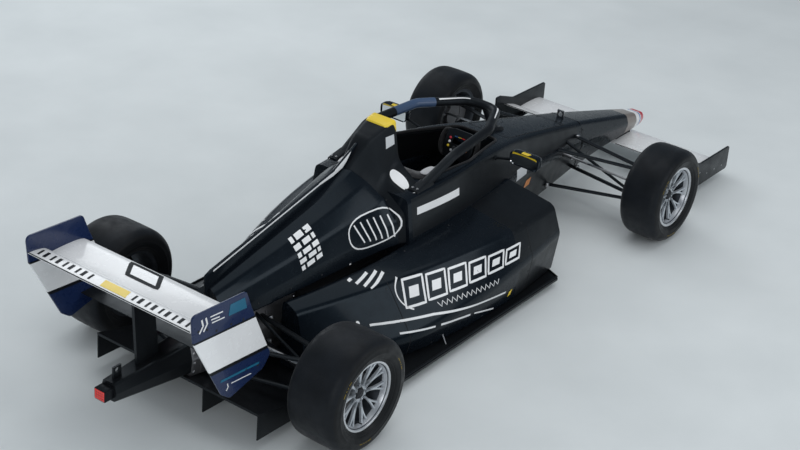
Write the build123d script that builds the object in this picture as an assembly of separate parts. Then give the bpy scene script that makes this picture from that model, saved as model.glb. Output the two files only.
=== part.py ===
from build123d import *
import os
from math import cos, pi, sin

# Open wheel racing car, millimetres. X forward, Y left, Z up, origin on the ground at the centre of
# the car's box.

# Overall layout
OVERALL_LENGTH = 4850
FRONT_OVERHANG = 1100
REAR_OVERHANG = 850
WHEELBASE = OVERALL_LENGTH - FRONT_OVERHANG - REAR_OVERHANG
FRONT_AXLE_X = OVERALL_LENGTH / 2 - FRONT_OVERHANG
REAR_AXLE_X = FRONT_AXLE_X - WHEELBASE
NOSE_TIP_X = OVERALL_LENGTH / 2
TAIL_X = -OVERALL_LENGTH / 2
CELL_FRONT_X = FRONT_AXLE_X + 155
CELL_REAR_X = REAR_AXLE_X + 1015
HIP_X = CELL_REAR_X + 560
RUNNING_GAP = 0.05
SEAT_GAP = 0.3

# Wheels: the two axles have their own sizes
FRONT_TYRE_R = 280
FRONT_TYRE_WIDTH = 247
FRONT_OUTER_Y = 900
REAR_TYRE_R = 290
REAR_TYRE_WIDTH = 292
REAR_OUTER_Y = 895
TYRE_SHOULDER = 38
CASING = 15
BEAD_WIDTH = 62
RIM_FLANGE_R = 182
RIM_SEAT_R = 165
RIM_WALL = 9
RIM_FACE_INSET = 26
SPOKE_COUNT = 10
SPOKE_WIDTH = 15
SPOKE_DEPTH = 16
HUB_R = 46
HUB_LENGTH = 70
SPINDLE_R = 17
DISC_R = 122
DISC_THICK = 18
DISC_INSET = 130
CALIPER_R = 146
CALIPER_GAP = 6

# Steering
KINGPIN_INSET = 172
KINGPIN_R = 9
POST_HALF = 15
BALL_HALF_SPAN = 96
STEER_ARM_LENGTH = 105
STEER_ARM_Z = 318
STEER_ARM_THICK = 14
TIE_ROD_R = 7
EYE_R = 15
RACK_R = 14
RACK_HALF = 230
STEERING_WHEEL_X = HIP_X + 330
STEERING_WHEEL_Z = 640
COLUMN_TILT = 22 * pi / 180
COLUMN_R = 10
DASH_X = HIP_X + 520
TOW_EYE_R = 13
TOW_EYE_THICK = 10
TOW_EYE_AHEAD = 95
FRONT_TOW_EYE_LIFT = 27
REAR_TOW_EYE_Z = 400
DRIVESHAFT_R = 14
BOOT_R = 42
ARM_HALF_CHORD = 17
ARM_HALF_THICK = 8
PUSHROD_R = 9
REAR_POST_Y = 690
REAR_BALL_SPAN = 100

# Survival cell
CELL_WALL = 24
CELL_RADIUS = 42
COCKPIT_FRONT_X = DASH_X
COCKPIT_REAR_X = HIP_X - 350
COCKPIT_SHOULDER = 420
COCKPIT_REAR_HALF = 245
COCKPIT_FRONT_HALF = 130
SEAT_HALF = 215
SEAT_WALL = 30
WHEEL_WIDTH = 270
WHEEL_HEIGHT = 170

# Body panels, engine and tail
POD_WALL = 18
FIN_HALF = 8
AIRBOX_R = 56
ENGINE_HALF = 200
LIGHT_LENGTH = 60

# Floor
FLOOR_Z = 40
FLOOR_THICK = 14
FLOOR_HALF = 700
FLOOR_FRONT_X = HIP_X + 560
FLOOR_REAR_HALF = 575
PLANK_HALF = 150
DIFFUSER_X = REAR_AXLE_X + 245
DIFFUSER_END_X = REAR_AXLE_X - 355
DIFFUSER_RISE = 150
DIFFUSER_HALF = 520
FENCE_THICK = 6

# Rear wing
REAR_WING_HALF = 500
ENDPLATE_THICK = 12
PILLAR_HALF = 8

# Front wing
FRONT_WING_HALF = 688
FRONT_WING_Z = 88
FRONT_WING_CHORD = 300
FRONT_WING_LEAD_X = NOSE_TIP_X - 80

# Halo
HALO_R = 27
HALO_HALF = 285
HALO_FRONT_X = HIP_X + 540
HALO_FRONT_Z = 822
HALO_FOOT_X = HIP_X + 700
STRUT_HALF = 15


def across(x, outline, radius):
    """Face across the car at x from (y, z) points with rounded corners."""
    plane = Plane((x, 0, 0), x_dir=(0, 1, 0), z_dir=(1, 0, 0))
    face = make_face(Polyline(*outline, close=True))
    return plane * fillet(face.vertices(), radius)


def both(half):
    """Closed outline from its left half, given from the bottom up."""
    return half + [(-y, z) for y, z in reversed(half)]


def tube(start, end, radius):
    """Round bar between two points."""
    a, b = Vector(*start), Vector(*end)
    return Plane(a, z_dir=(b - a)) * Cylinder(radius, (b - a).length, align=(Align.CENTER, Align.CENTER, Align.MIN))


def side_bar(x, y, z, radius, length):
    """Round bar along Y that starts at y and runs outwards by length."""
    return Pos(x, y, z) * Rot(-90, 0, 0) * Cylinder(radius, length, align=(Align.CENTER, Align.CENTER, Align.MIN))


def block(x0, x1, y0, y1, z0, z1):
    """Box between two corners."""
    return Pos((x0 + x1) / 2, (y0 + y1) / 2, (z0 + z1) / 2) * Box(abs(x1 - x0), abs(y1 - y0), abs(z1 - z0))


def prism(outline, y0, y1):
    """Solid from (x, z) points, extruded across the car from y0 to y1."""
    plane = Plane((0, y0, 0), x_dir=(1, 0, 0), z_dir=(0, -1, 0))
    return extrude(plane * make_face(Polyline(*outline, close=True)), y0 - y1)


def slab(outline, z0, z1):
    """Solid from (x, y) points, extruded from z0 up to z1."""
    return extrude(Pos(0, 0, z0) * make_face(Polyline(*outline, close=True)), z1 - z0)


def mirrored(shape):
    """The same shape on the car's other side."""
    return mirror(shape, about=Plane.XZ)


def pair(shape):
    """A left piece and its right twin as separate solids."""
    return Compound(children=[shape, mirrored(shape)])


def save(node, shape):
    os.makedirs("parts", exist_ok=True)
    export_step(shape, "parts/" + node + ".step")


# Wheels
def tyre(radius, width, outer_y):
    """Slick tyre as a closed ring with rounded shoulders, bare side walls."""
    inner_y = outer_y - width
    shoulder_in = 0.12 * width
    outline = [
        (RIM_SEAT_R, inner_y + shoulder_in),
        (RIM_FLANGE_R + 4, inner_y + 0.5 * shoulder_in),
        (RIM_FLANGE_R + 30, inner_y),
        (radius - TYRE_SHOULDER, inner_y),
        (radius, inner_y + TYRE_SHOULDER),
        (radius, outer_y - TYRE_SHOULDER),
        (radius - TYRE_SHOULDER, outer_y),
        (RIM_FLANGE_R + 30, outer_y),
        (RIM_FLANGE_R + 4, outer_y - 0.5 * shoulder_in),
        (RIM_SEAT_R, outer_y - shoulder_in),
    ]
    face = make_face(Polyline(*outline, close=True))
    shoulders = [v for v in face.vertices() if v.X > RIM_FLANGE_R + 20]
    face = fillet(shoulders, 0.42 * TYRE_SHOULDER)
    air = []
    for r, inset in ((RIM_SEAT_R - 5, BEAD_WIDTH), (RIM_FLANGE_R + 26, 1.4 * CASING), (radius - 2.2 * CASING, CASING),
                     (radius - CASING, 2.2 * CASING)):
        air.append((r, inset))
    cavity = [(r, inner_y + d) for r, d in air] + [(r, outer_y - d) for r, d in reversed(air)]
    ring = revolve(face - make_face(Polyline(*cavity, close=True)), Axis.Y)
    return ring - barrel(width, outer_y)


def lip_inset(width):
    """How far the rim's flanges lie inside the tyre's side walls."""
    return 0.06 * width + 6


def barrel(width, outer_y):
    """Rim barrel with its two flanges."""
    y_out = outer_y - lip_inset(width)
    y_in = outer_y - width + lip_inset(width)
    barrel_outline = [
        (RIM_SEAT_R - RIM_WALL, y_in), (RIM_FLANGE_R, y_in), (RIM_FLANGE_R, y_in + 6), (RIM_SEAT_R, y_in + 8),
        (RIM_SEAT_R, y_out - 8), (RIM_FLANGE_R, y_out - 6), (RIM_FLANGE_R, y_out), (RIM_SEAT_R - RIM_WALL, y_out),
    ]
    return revolve(make_face(Polyline(*barrel_outline, close=True)), Axis.Y)


def rim(width, outer_y):
    """Wheel: barrel with two flanges, thin spokes, hub with a bore, and the brake disc behind."""
    body = barrel(width, outer_y)
    y_out = outer_y - lip_inset(width)
    face_y = y_out - RIM_FACE_INSET
    inner_r = RIM_SEAT_R - RIM_WALL / 2
    for i in range(SPOKE_COUNT):
        angle = 360 * i / SPOKE_COUNT
        spoke = block(HUB_R - 6, inner_r, face_y - SPOKE_DEPTH, face_y, -SPOKE_WIDTH / 2, SPOKE_WIDTH / 2)
        body += Rot(0, angle, 0) * spoke
    hub = side_bar(0, face_y - HUB_LENGTH - 2 * SPOKE_DEPTH, 0, HUB_R, HUB_LENGTH + 2 * SPOKE_DEPTH)
    disc = side_bar(0, y_out - DISC_INSET, 0, DISC_R, DISC_THICK)
    neck = side_bar(0, y_out - DISC_INSET, 0, HUB_R, DISC_INSET - RIM_FACE_INSET)
    bore = side_bar(0, y_out - DISC_INSET - 1, 0, SPINDLE_R + RUNNING_GAP, DISC_INSET - RIM_FACE_INSET - 20)
    return body + hub + disc + neck - bore


def disc_face_y(width, outer_y):
    """Y of the brake disc's inboard face."""
    return outer_y - lip_inset(width) - DISC_INSET


def spindle_end_y(width, outer_y):
    """Y of the spindle's outboard end, inside the hub's bore."""
    return outer_y - lip_inset(width) - RIM_FACE_INSET - 22


# Corner table: name, axle x, tyre radius, tyre width, outer y
CORNERS = [
    ("front", FRONT_AXLE_X, FRONT_TYRE_R, FRONT_TYRE_WIDTH, FRONT_OUTER_Y),
    ("rear", REAR_AXLE_X, REAR_TYRE_R, REAR_TYRE_WIDTH, REAR_OUTER_Y),
]
for name, axle_x, radius, width, outer_y in CORNERS:
    one_tyre = Pos(axle_x, 0, radius) * tyre(radius, width, outer_y)
    one_rim = Pos(axle_x, 0, radius) * rim(width, outer_y)
    save("tyre_" + name + "_left", one_tyre)
    save("tyre_" + name + "_right", mirrored(one_tyre))
    save("rim_" + name + "_left", one_rim)
    save("rim_" + name + "_right", mirrored(one_rim))


# Uprights
KINGPIN_Y = FRONT_OUTER_Y - KINGPIN_INSET
BALL_TOP_Z = FRONT_TYRE_R + BALL_HALF_SPAN
BALL_LOW_Z = FRONT_TYRE_R - BALL_HALF_SPAN


def caliper(axle_x, axle_z, disc_y, behind):
    """Brake caliper that straddles the disc's edge, ahead of the axle or behind it."""
    side = -1 if behind else 1
    band = side_bar(axle_x, disc_y - 34, axle_z, CALIPER_R, DISC_THICK + 64)
    band -= side_bar(axle_x, disc_y - 35, axle_z, HUB_R + 34, DISC_THICK + 66)
    band &= block(axle_x + side * 50, axle_x + side * 200, disc_y - 40, disc_y + 60, axle_z - 62, axle_z + 62)
    slot = side_bar(axle_x, disc_y - CALIPER_GAP, axle_z, DISC_R + CALIPER_GAP, DISC_THICK + 2 * CALIPER_GAP)
    return band - slot


def upright(axle_x, axle_z, post_y, disc_y, spindle_tip, reach, behind):
    """Post behind the wheel with the spindle that the hub turns on, and a caliper over the disc."""
    post = block(axle_x - 32, axle_x + 32, post_y - POST_HALF, post_y + POST_HALF, axle_z - reach, axle_z + reach)
    plate = side_bar(axle_x, post_y - POST_HALF, axle_z, 62, disc_y - CALIPER_GAP - (post_y - POST_HALF))
    spindle = side_bar(axle_x, post_y, axle_z, SPINDLE_R, spindle_tip - post_y)
    side = -1 if behind else 1
    lug = block(axle_x + side * 40, axle_x + side * 100, post_y - 10, disc_y - CALIPER_GAP, axle_z - 40, axle_z + 40)
    return post + plate + spindle + caliper(axle_x, axle_z, disc_y, behind) + lug


front_disc_y = disc_face_y(FRONT_TYRE_WIDTH, FRONT_OUTER_Y)
front_tip_y = spindle_end_y(FRONT_TYRE_WIDTH, FRONT_OUTER_Y)
front_upright = upright(FRONT_AXLE_X, FRONT_TYRE_R, KINGPIN_Y, front_disc_y, front_tip_y, BALL_HALF_SPAN - 16, False)
kingpin_foot = (FRONT_AXLE_X, KINGPIN_Y, BALL_LOW_Z - 12)
front_upright += tube(kingpin_foot, (FRONT_AXLE_X, KINGPIN_Y, BALL_TOP_Z + 12), KINGPIN_R)
RACK_X = FRONT_AXLE_X - STEER_ARM_LENGTH
front_upright += block(RACK_X - EYE_R, FRONT_AXLE_X - 20, KINGPIN_Y - 14, KINGPIN_Y + 10,
                       STEER_ARM_Z - STEER_ARM_THICK, STEER_ARM_Z)
save("front_upright_left", front_upright)
save("front_upright_right", mirrored(front_upright))

rear_disc_y = disc_face_y(REAR_TYRE_WIDTH, REAR_OUTER_Y)
rear_tip_y = spindle_end_y(REAR_TYRE_WIDTH, REAR_OUTER_Y)
rear_upright = upright(REAR_AXLE_X, REAR_TYRE_R, REAR_POST_Y, rear_disc_y, rear_tip_y, REAR_BALL_SPAN, True)
save("rear_uprights", pair(rear_upright))


# Suspension arms
REAR_TOP_Z = REAR_TYRE_R + REAR_BALL_SPAN - 12
REAR_LOW_Z = REAR_TYRE_R - REAR_BALL_SPAN + 12


def blade(start, end, half_chord, half_thick):
    """Flattened bar between two points, with its long side along the car."""
    a, b = Vector(*start), Vector(*end)
    plane = Plane(a, x_dir=(1, 0, 0), z_dir=(b - a))
    return plane * extrude(Ellipse(half_chord, half_thick), (b - a).length)


def front_arm(ball_z, inner_z, rear_leg_x, front_leg_x, inner_y):
    """Front wishbone: an eye round the kingpin and two legs to the survival cell."""
    eye = Pos(FRONT_AXLE_X, KINGPIN_Y, ball_z) * Cylinder(KINGPIN_R + 11, 18)
    eye -= Pos(FRONT_AXLE_X, KINGPIN_Y, ball_z) * Cylinder(KINGPIN_R + RUNNING_GAP, 30)
    start = (FRONT_AXLE_X, KINGPIN_Y - KINGPIN_R - 8, ball_z)
    for leg_x in (rear_leg_x, front_leg_x):
        eye += blade(start, (FRONT_AXLE_X + leg_x, inner_y, inner_z), ARM_HALF_CHORD, ARM_HALF_THICK)
    return eye


def rear_arm(ball_z, inner_z, leg_xs, inner_y):
    """Rear wishbone: two legs from the upright's post to the gearbox."""
    post = block(REAR_AXLE_X - 60, REAR_AXLE_X + 60, REAR_POST_Y - POST_HALF, REAR_POST_Y + 60, 0, 600)
    legs = []
    for x in leg_xs:
        start = (REAR_AXLE_X + (16 if x > 0 else -16), REAR_POST_Y, ball_z)
        leg = blade(start, (REAR_AXLE_X + x, inner_y, inner_z), ARM_HALF_CHORD, ARM_HALF_THICK)
        legs.append(leg - post - gearbox)
    return legs[0] + legs[1]


# Survival cell sections: x ahead of the hips, half width low, at the waist and on top, then the same for z
CELL_SECTIONS = [
    (CELL_REAR_X - HIP_X, 300, 335, 300, 56, 500, 735),
    (-150, 305, 338, 305, 56, 500, 738),
    (330, 235, 292, 235, 60, 470, 690),
    (760, 150, 222, 165, 82, 420, 610),
    (CELL_FRONT_X - HIP_X, 98, 142, 108, 135, 330, 452),
]


def cell_solid(inset):
    """Loft of the survival cell, inset from the outer skin all round and twice as far at its ends."""
    faces = []
    for i, (x, low, waist, top, z_low, z_waist, z_top) in enumerate(CELL_SECTIONS):
        end = 1 if i == 0 else (-1 if i == len(CELL_SECTIONS) - 1 else 0)
        half = [(low - inset, z_low + inset), (waist - inset, z_waist), (top - inset, z_top - inset)]
        faces.append(across(HIP_X + x + 2 * end * inset, both(half), max(CELL_RADIUS - inset, 12)))
    return loft(faces, ruled=True)


def cell_top_z(x):
    """Height of the survival cell's top over the centre line at x."""
    tops = [(HIP_X + row[0], row[6]) for row in CELL_SECTIONS]
    for (x0, z0), (x1, z1) in zip(tops, tops[1:]):
        if x <= x1:
            break
    return z0 + (z1 - z0) * (x - x0) / (x1 - x0)


cell = cell_solid(0)
hollow = cell_solid(CELL_WALL)
opening = slab([
    (COCKPIT_REAR_X, -COCKPIT_REAR_HALF), (COCKPIT_REAR_X + COCKPIT_SHOULDER, -COCKPIT_REAR_HALF),
    (COCKPIT_FRONT_X, -COCKPIT_FRONT_HALF), (COCKPIT_FRONT_X, COCKPIT_FRONT_HALF),
    (COCKPIT_REAR_X + COCKPIT_SHOULDER, COCKPIT_REAR_HALF), (COCKPIT_REAR_X, COCKPIT_REAR_HALF),
], 560, 800)
monocoque = cell - hollow - opening

# Dash bulkhead that carries the steering column, rack bearings and the front tow eye
column_axis = Vector(cos(COLUMN_TILT), 0, -sin(COLUMN_TILT))
wheel_centre = Vector(STEERING_WHEEL_X, 0, STEERING_WHEEL_Z)
monocoque += block(DASH_X, DASH_X + 16, -400, 400, 470, 700) & hollow
monocoque -= tube(wheel_centre, wheel_centre + column_axis * 400, COLUMN_R + RUNNING_GAP)
RACK_Z = STEER_ARM_Z + 26
monocoque -= side_bar(RACK_X, -400, RACK_Z, RACK_R + RUNNING_GAP, 800)
eye_x = FRONT_AXLE_X + TOW_EYE_AHEAD
eye_z = cell_top_z(eye_x) + FRONT_TOW_EYE_LIFT
tow_eye = block(eye_x - TOW_EYE_THICK / 2, eye_x + TOW_EYE_THICK / 2, -24, 24, eye_z - 46, eye_z + 24)
tow_eye -= tube((eye_x - 20, 0, eye_z), (eye_x + 20, 0, eye_z), TOW_EYE_R)
monocoque += tow_eye - cell
save("monocoque", monocoque)

# Nose sections: part of the way to the tip, half width, z low, z top
NOSE_SECTIONS = [
    (0.00, 142, 135, 452),
    (0.34, 116, 140, 368),
    (0.68, 92, 134, 284),
    (0.955, 64, 122, 214),
    (1.00, 42, 138, 196),
]
nose_length = NOSE_TIP_X - CELL_FRONT_X
nose_faces = []
for way, half, z_low, z_top in NOSE_SECTIONS:
    rings = both([(0.7 * half, z_low), (half, 0.4 * z_low + 0.6 * z_top), (0.76 * half, z_top)])
    nose_faces.append(across(CELL_FRONT_X + way * nose_length, rings, 16))
nose = loft(nose_faces, ruled=True)
save("nose", nose)

# Floor with a plank below it, then the diffuser ramp with its fences
left_floor = [
    (FLOOR_FRONT_X, 0), (FLOOR_FRONT_X, 330), (HIP_X + 380, FLOOR_HALF), (DIFFUSER_X + 180, FLOOR_HALF),
    (DIFFUSER_X + 90, FLOOR_REAR_HALF), (DIFFUSER_X, FLOOR_REAR_HALF), (DIFFUSER_X, 0),
]
floor_outline = left_floor + [(x, -y) for x, y in reversed(left_floor) if y > 0]
floor = slab(floor_outline, FLOOR_Z, FLOOR_Z + FLOOR_THICK)
floor += block(DIFFUSER_X, HIP_X + 980, -PLANK_HALF, PLANK_HALF, FLOOR_Z - 8, FLOOR_Z + 8)
save("floor", floor)
ramp_end_z = FLOOR_Z + DIFFUSER_RISE
diffuser = prism([
    (DIFFUSER_X, FLOOR_Z), (DIFFUSER_X, FLOOR_Z + FLOOR_THICK),
    (DIFFUSER_END_X, ramp_end_z + FLOOR_THICK), (DIFFUSER_END_X, ramp_end_z),
], -DIFFUSER_HALF, DIFFUSER_HALF)
fence = [(DIFFUSER_X, FLOOR_Z), (DIFFUSER_END_X, ramp_end_z + 4), (DIFFUSER_END_X, 60)]
for y in (-DIFFUSER_HALF, -180, 180 - FENCE_THICK, DIFFUSER_HALF - FENCE_THICK):
    diffuser += prism(fence, y, y + FENCE_THICK)
save("diffuser", diffuser)

# Side pods: x ahead of the hips, inner y, shoulder y, outer y, z low, z outer, z shoulder, z at the inner edge
POD_SECTIONS = [
    (430, 250, 590, 650, 300, 452, 505),
    (0, 285, 600, 682, 270, 462, 508),
    (-450, 305, 530, 668, 220, 452, 500),
    (-900, 275, 415, 590, 170, 425, 478),
    (-1360, 168, 262, 335, 130, 392, 440),
]
FLOOR_TOP = FLOOR_Z + FLOOR_THICK


def pod_faces(inset, count):
    """Sections of the left pod, inset from its skin; the first one moves ahead so that the duct is open."""
    faces = []
    for i, (x, inner, shoulder, outer, z_outer, z_shoulder, z_top) in enumerate(POD_SECTIONS[:count]):
        ahead = inset / 3 if i == 0 else 0
        outline = [
            (inner + inset, FLOOR_TOP + inset), (outer - 30 - inset, FLOOR_TOP + inset), (outer - inset, z_outer),
            (shoulder - 0.7 * inset, z_shoulder - inset), (inner + inset, z_top - inset),
        ]
        faces.append(across(HIP_X + x + ahead, outline, 26 if inset == 0 else 12))
    return faces


pod = loft(pod_faces(0, len(POD_SECTIONS)), ruled=True)
duct_reach = block(HIP_X, HIP_X + 500, 300, 800, 0, 600)
pod -= loft(pod_faces(POD_WALL, 2), ruled=True) & duct_reach
pod -= cell
pod -= diffuser
save("sidepod_left", pod)
save("sidepod_right", mirrored(pod))

# Engine cover sections: x ahead of the rear axle, then half width and z of foot, hem, waist, shoulder and crown
COVER_SECTIONS = [
    (1175, (300, 640), (300, 712), (116, 840), (94, 960), (72, 1050)),
    (975, (300, 560), (285, 640), (140, 790), (96, 910), (58, 990)),
    (775, (240, 470), (232, 560), (190, 690), (118, 775), (50, 812)),
    (325, (180, 440), (172, 520), (140, 610), (86, 672), (34, 700)),
    (-145, (100, 400), (96, 450), (78, 515), (50, 560), (22, 580)),
]


def cover_loft(count):
    """Loft of the engine cover's first sections."""
    faces = [across(REAR_AXLE_X + x, both(list(half)), 12) for x, *half in COVER_SECTIONS[:count]]
    return loft(faces, ruled=True)


fin = prism([(REAR_AXLE_X + x, z) for x, z in (
    (950, 900), (950, 972), (785, 882), (-125, 668), (-165, 650), (-165, 540), (-145, 500), (325, 640), (775, 760),
)], -FIN_HALF, FIN_HALF)
intake = tube((REAR_AXLE_X + 1200, 0, 975), (REAR_AXLE_X + 955, 0, 900), AIRBOX_R)
engine_cover = cover_loft(len(COVER_SECTIONS)) + fin - intake - cell
save("engine_cover", engine_cover)

# Engine, gearbox and tail
ENGINE_REAR_X = REAR_AXLE_X + 395
GEARBOX_REAR_X = REAR_AXLE_X - 325
save("engine", block(ENGINE_REAR_X, CELL_REAR_X - SEAT_GAP, -ENGINE_HALF, ENGINE_HALF, 62, 400 - SEAT_GAP))
gearbox = loft([
    across(ENGINE_REAR_X - SEAT_GAP, both([(120, 95), (140, 260), (100, 392)]), 20),
    across(GEARBOX_REAR_X, both([(70, 190), (80, 290), (60, 385)]), 20),
], ruled=True)
gearbox -= diffuser
save("gearbox", gearbox)
crash = loft([
    across(GEARBOX_REAR_X - SEAT_GAP, both([(70, 210), (80, 290), (60, 380)]), 16),
    across(TAIL_X + LIGHT_LENGTH, both([(40, 262), (48, 310), (36, 358)]), 12),
], ruled=True)
rear_eye_x = TAIL_X + LIGHT_LENGTH + 50
rear_eye = block(rear_eye_x - 25, rear_eye_x + 25, -TOW_EYE_THICK / 2, TOW_EYE_THICK / 2,
                 REAR_TOW_EYE_Z - 70, REAR_TOW_EYE_Z + 20)
rear_eye -= side_bar(rear_eye_x, -20, REAR_TOW_EYE_Z, TOW_EYE_R, 40)
save("crash_structure", crash + (rear_eye - crash))
save("rain_light", block(TAIL_X, TAIL_X + LIGHT_LENGTH - SEAT_GAP, -34, 34, 282, 342))
pipe_start = (REAR_AXLE_X - 155, 72, 416)
pipe_end = (GEARBOX_REAR_X - 110, 92, 430)
pipe = tube(pipe_start, pipe_end, 32)
along = (Vector(*pipe_end) - Vector(*pipe_start)).normalized()
pipe -= tube(Vector(*pipe_start) + along * 60, Vector(*pipe_end) + along, 28)
save("exhaust_pipe", pipe - gearbox)

# Rear wing: endplates lean forward towards the foot
plate_outline = [(TAIL_X + x, z) for x, z in (
    (42, 914), (392, 896), (432, 796), (572, 500), (528, 442), (304, 384), (248, 424), (56, 773),
)]
plate = prism(plate_outline, REAR_WING_HALF, REAR_WING_HALF + ENDPLATE_THICK)
save("rear_wing_endplates", pair(plate))


def aerofoil(lead_x, lead_z, chord, thick, angle, half_span):
    """Wing plane across the car: rounded leading edge, thin trailing edge, nose down by angle."""
    outline = [
        (0, 0), (-0.02 * chord, 0.32 * thick), (-0.1 * chord, 0.6 * thick), (-0.3 * chord, 0.72 * thick),
        (-0.68 * chord, 0.45 * thick), (-chord, 0.07 * thick), (-chord, -0.07 * thick), (-0.6 * chord, -0.22 * thick),
        (-0.2 * chord, -0.36 * thick), (-0.04 * chord, -0.24 * thick),
    ]
    a = angle * pi / 180
    turned = [(lead_x + x * cos(a) + z * sin(a), lead_z - x * sin(a) + z * cos(a)) for x, z in outline]
    return prism(turned, -half_span, half_span)


rear_main = aerofoil(TAIL_X + 414, 752, 255, 32, 6, REAR_WING_HALF)
save("rear_wing_main", rear_main)
save("rear_wing_flap", aerofoil(TAIL_X + 166, 800, 122, 18, 14, REAR_WING_HALF))
save("beam_wing", aerofoil(TAIL_X + 520, 462, 150, 24, 10, REAR_WING_HALF))
pillar_outline = [(TAIL_X + x, z) for x, z in ((375, 345), (235, 340), (205, 775), (330, 768))]
pillar = prism(pillar_outline, -PILLAR_HALF, PILLAR_HALF)
save("rear_wing_pillar", pillar - crash - rear_main)

# Front wing
front_main = aerofoil(FRONT_WING_LEAD_X, FRONT_WING_Z, FRONT_WING_CHORD, 28, 4, FRONT_WING_HALF)
save("front_wing_main", front_main)
flap = aerofoil(FRONT_WING_LEAD_X - FRONT_WING_CHORD - 6, FRONT_WING_Z + 38, 165, 18, 22, FRONT_WING_HALF)
flap_gap = block(FRONT_WING_LEAD_X - 600, FRONT_WING_LEAD_X, -150, 150, 50, 400)
save("front_wing_flap", flap - flap_gap)
end_outline = [(NOSE_TIP_X + x, z) for x, z in (
    (-640, 54), (-60, 46), (-45, 60), (-47, 190), (-60, 200), (-430, 206), (-590, 262), (-640, 262),
)]
end = prism(end_outline, FRONT_WING_HALF, FRONT_WING_HALF + ENDPLATE_THICK)
save("front_wing_endplates", pair(end))
pylon_outline = [(NOSE_TIP_X + x, z) for x, z in ((-330, 114), (-150, 100), (-170, 190), (-310, 210))]
pylon = prism(pylon_outline, 34, 44)
save("front_wing_pylons", pair(pylon - front_main - nose))

# Halo: a round tube hoop on two rear feet and a front pillar
ring = FilletPolyline(
    (HIP_X - 385, HALO_HALF - 20, 735), (HIP_X - 150, HALO_HALF, 842), (HIP_X + 230, HALO_HALF - 40, 850),
    (HALO_FRONT_X, 90, HALO_FRONT_Z), (HALO_FRONT_X, -90, HALO_FRONT_Z),
    (HIP_X + 230, 40 - HALO_HALF, 850), (HIP_X - 150, -HALO_HALF, 842), (HIP_X - 385, 20 - HALO_HALF, 735), radius=90)
hoop = sweep(Plane(ring @ 0, z_dir=ring % 0) * Circle(HALO_R), path=ring)
strut = prism([
    (HALO_FRONT_X - 24, HALO_FRONT_Z), (HALO_FRONT_X + 20, HALO_FRONT_Z),
    (HALO_FOOT_X + 40, 600), (HALO_FOOT_X - 40, 600),
], -STRUT_HALF, STRUT_HALF)
save("halo", hoop + strut - cell)

# Cockpit
shell = prism([(HIP_X + x, z) for x, z in (
    (-440, 130), (-395, 640), (-350, 640), (-330, 180), (60, 140), (230, 250), (260, 225), (80, 95), (-400, 95),
)], -SEAT_HALF, SEAT_HALF)
bolster = prism([(HIP_X + x, z) for x, z in (
    (-352, 600), (-300, 560), (-250, 380), (-100, 290), (120, 260), (222, 244), (60, 141), (-329, 181),
)], SEAT_HALF - SEAT_WALL, SEAT_HALF)
save("seat", shell + bolster + mirrored(bolster))
rest_front = HIP_X - 80
rest_back = COCKPIT_REAR_X - 2
rest = slab([
    (rest_back, -238), (rest_back, 238), (rest_front, 238), (rest_front, 165), (rest_back + 90, 150),
    (rest_back + 90, -150), (rest_front, -165), (rest_front, -238),
], 640, 760)
save("headrest", rest - monocoque)

# Steering wheel on its column, and the rack with its tie rods
wheel_plane = Plane(wheel_centre, x_dir=(0, 1, 0), z_dir=column_axis)
grip = RectangleRounded(WHEEL_WIDTH, WHEEL_HEIGHT, 46) - RectangleRounded(WHEEL_WIDTH - 66, WHEEL_HEIGHT - 46, 30)
boss = RectangleRounded(WHEEL_WIDTH - 110, WHEEL_HEIGHT, 20)
column = tube(wheel_centre, wheel_centre + column_axis * 265, COLUMN_R)
wheel_body = extrude(grip, 13, both=True) + extrude(boss, 11, both=True)
save("steering_wheel", wheel_plane * wheel_body + column)
rack = side_bar(RACK_X, -RACK_HALF, RACK_Z, RACK_R, 2 * RACK_HALF)
for side in (1, -1):
    eye = Pos(RACK_X, side * KINGPIN_Y, STEER_ARM_Z + 2 + 9) * Cylinder(EYE_R, 18)
    rod_end = (RACK_X, side * (KINGPIN_Y - 6), STEER_ARM_Z + 12)
    rod = tube((RACK_X, side * (RACK_HALF - 6), RACK_Z), rod_end, TIE_ROD_R)
    rack += eye + rod
save("steering_rack", rack)

# Wishbones and pushrods
upper = front_arm(BALL_TOP_Z, 400, -190, 70, 110) - cell
lower = front_arm(BALL_LOW_Z, 175, -230, 110, 90) - cell
save("front_upper_wishbones", pair(upper))
save("front_lower_wishbones", pair(lower))
push = tube((FRONT_AXLE_X - 4, KINGPIN_Y - 60, BALL_LOW_Z), (FRONT_AXLE_X - 60, 60, 440), PUSHROD_R)
save("front_pushrods", pair(push - lower - cell))
rear_upper = rear_arm(REAR_TOP_Z, 345, (150, -210), 70)
save("rear_upper_wishbones", pair(rear_upper))
rear_lower = rear_arm(REAR_LOW_Z, 215, (150, -230), 60)
save("rear_lower_wishbones", pair(rear_lower))
rear_push = tube((REAR_AXLE_X + 18, REAR_POST_Y - 50, REAR_LOW_Z), (REAR_AXLE_X + 120, 60, 372), PUSHROD_R)
save("rear_pushrods", pair(rear_push - rear_lower - gearbox))

# Driveshafts from the gearbox to the rear uprights, with a joint boot at each end
shaft_end_y = REAR_POST_Y - POST_HALF
shaft = side_bar(REAR_AXLE_X, 0, REAR_TYRE_R, DRIVESHAFT_R, shaft_end_y)
shaft += side_bar(REAR_AXLE_X, 0, REAR_TYRE_R, BOOT_R, 190)
shaft += side_bar(REAR_AXLE_X, shaft_end_y - 80, REAR_TYRE_R, BOOT_R, 80)
save("driveshafts", pair(shaft - gearbox))

# Mirrors on their stalks
mirror_x = HIP_X + 300
housing = block(mirror_x, mirror_x + 76, 350, 535, 668, 745)
stalk = tube((mirror_x + 40, 400, 690), (mirror_x + 30, 200, 640), 9)
save("mirrors", pair(housing + stalk - cell))
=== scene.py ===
import math

import bmesh
import bpy
from mathutils import Matrix, Vector
from mathutils.bvhtree import BVHTree


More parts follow.
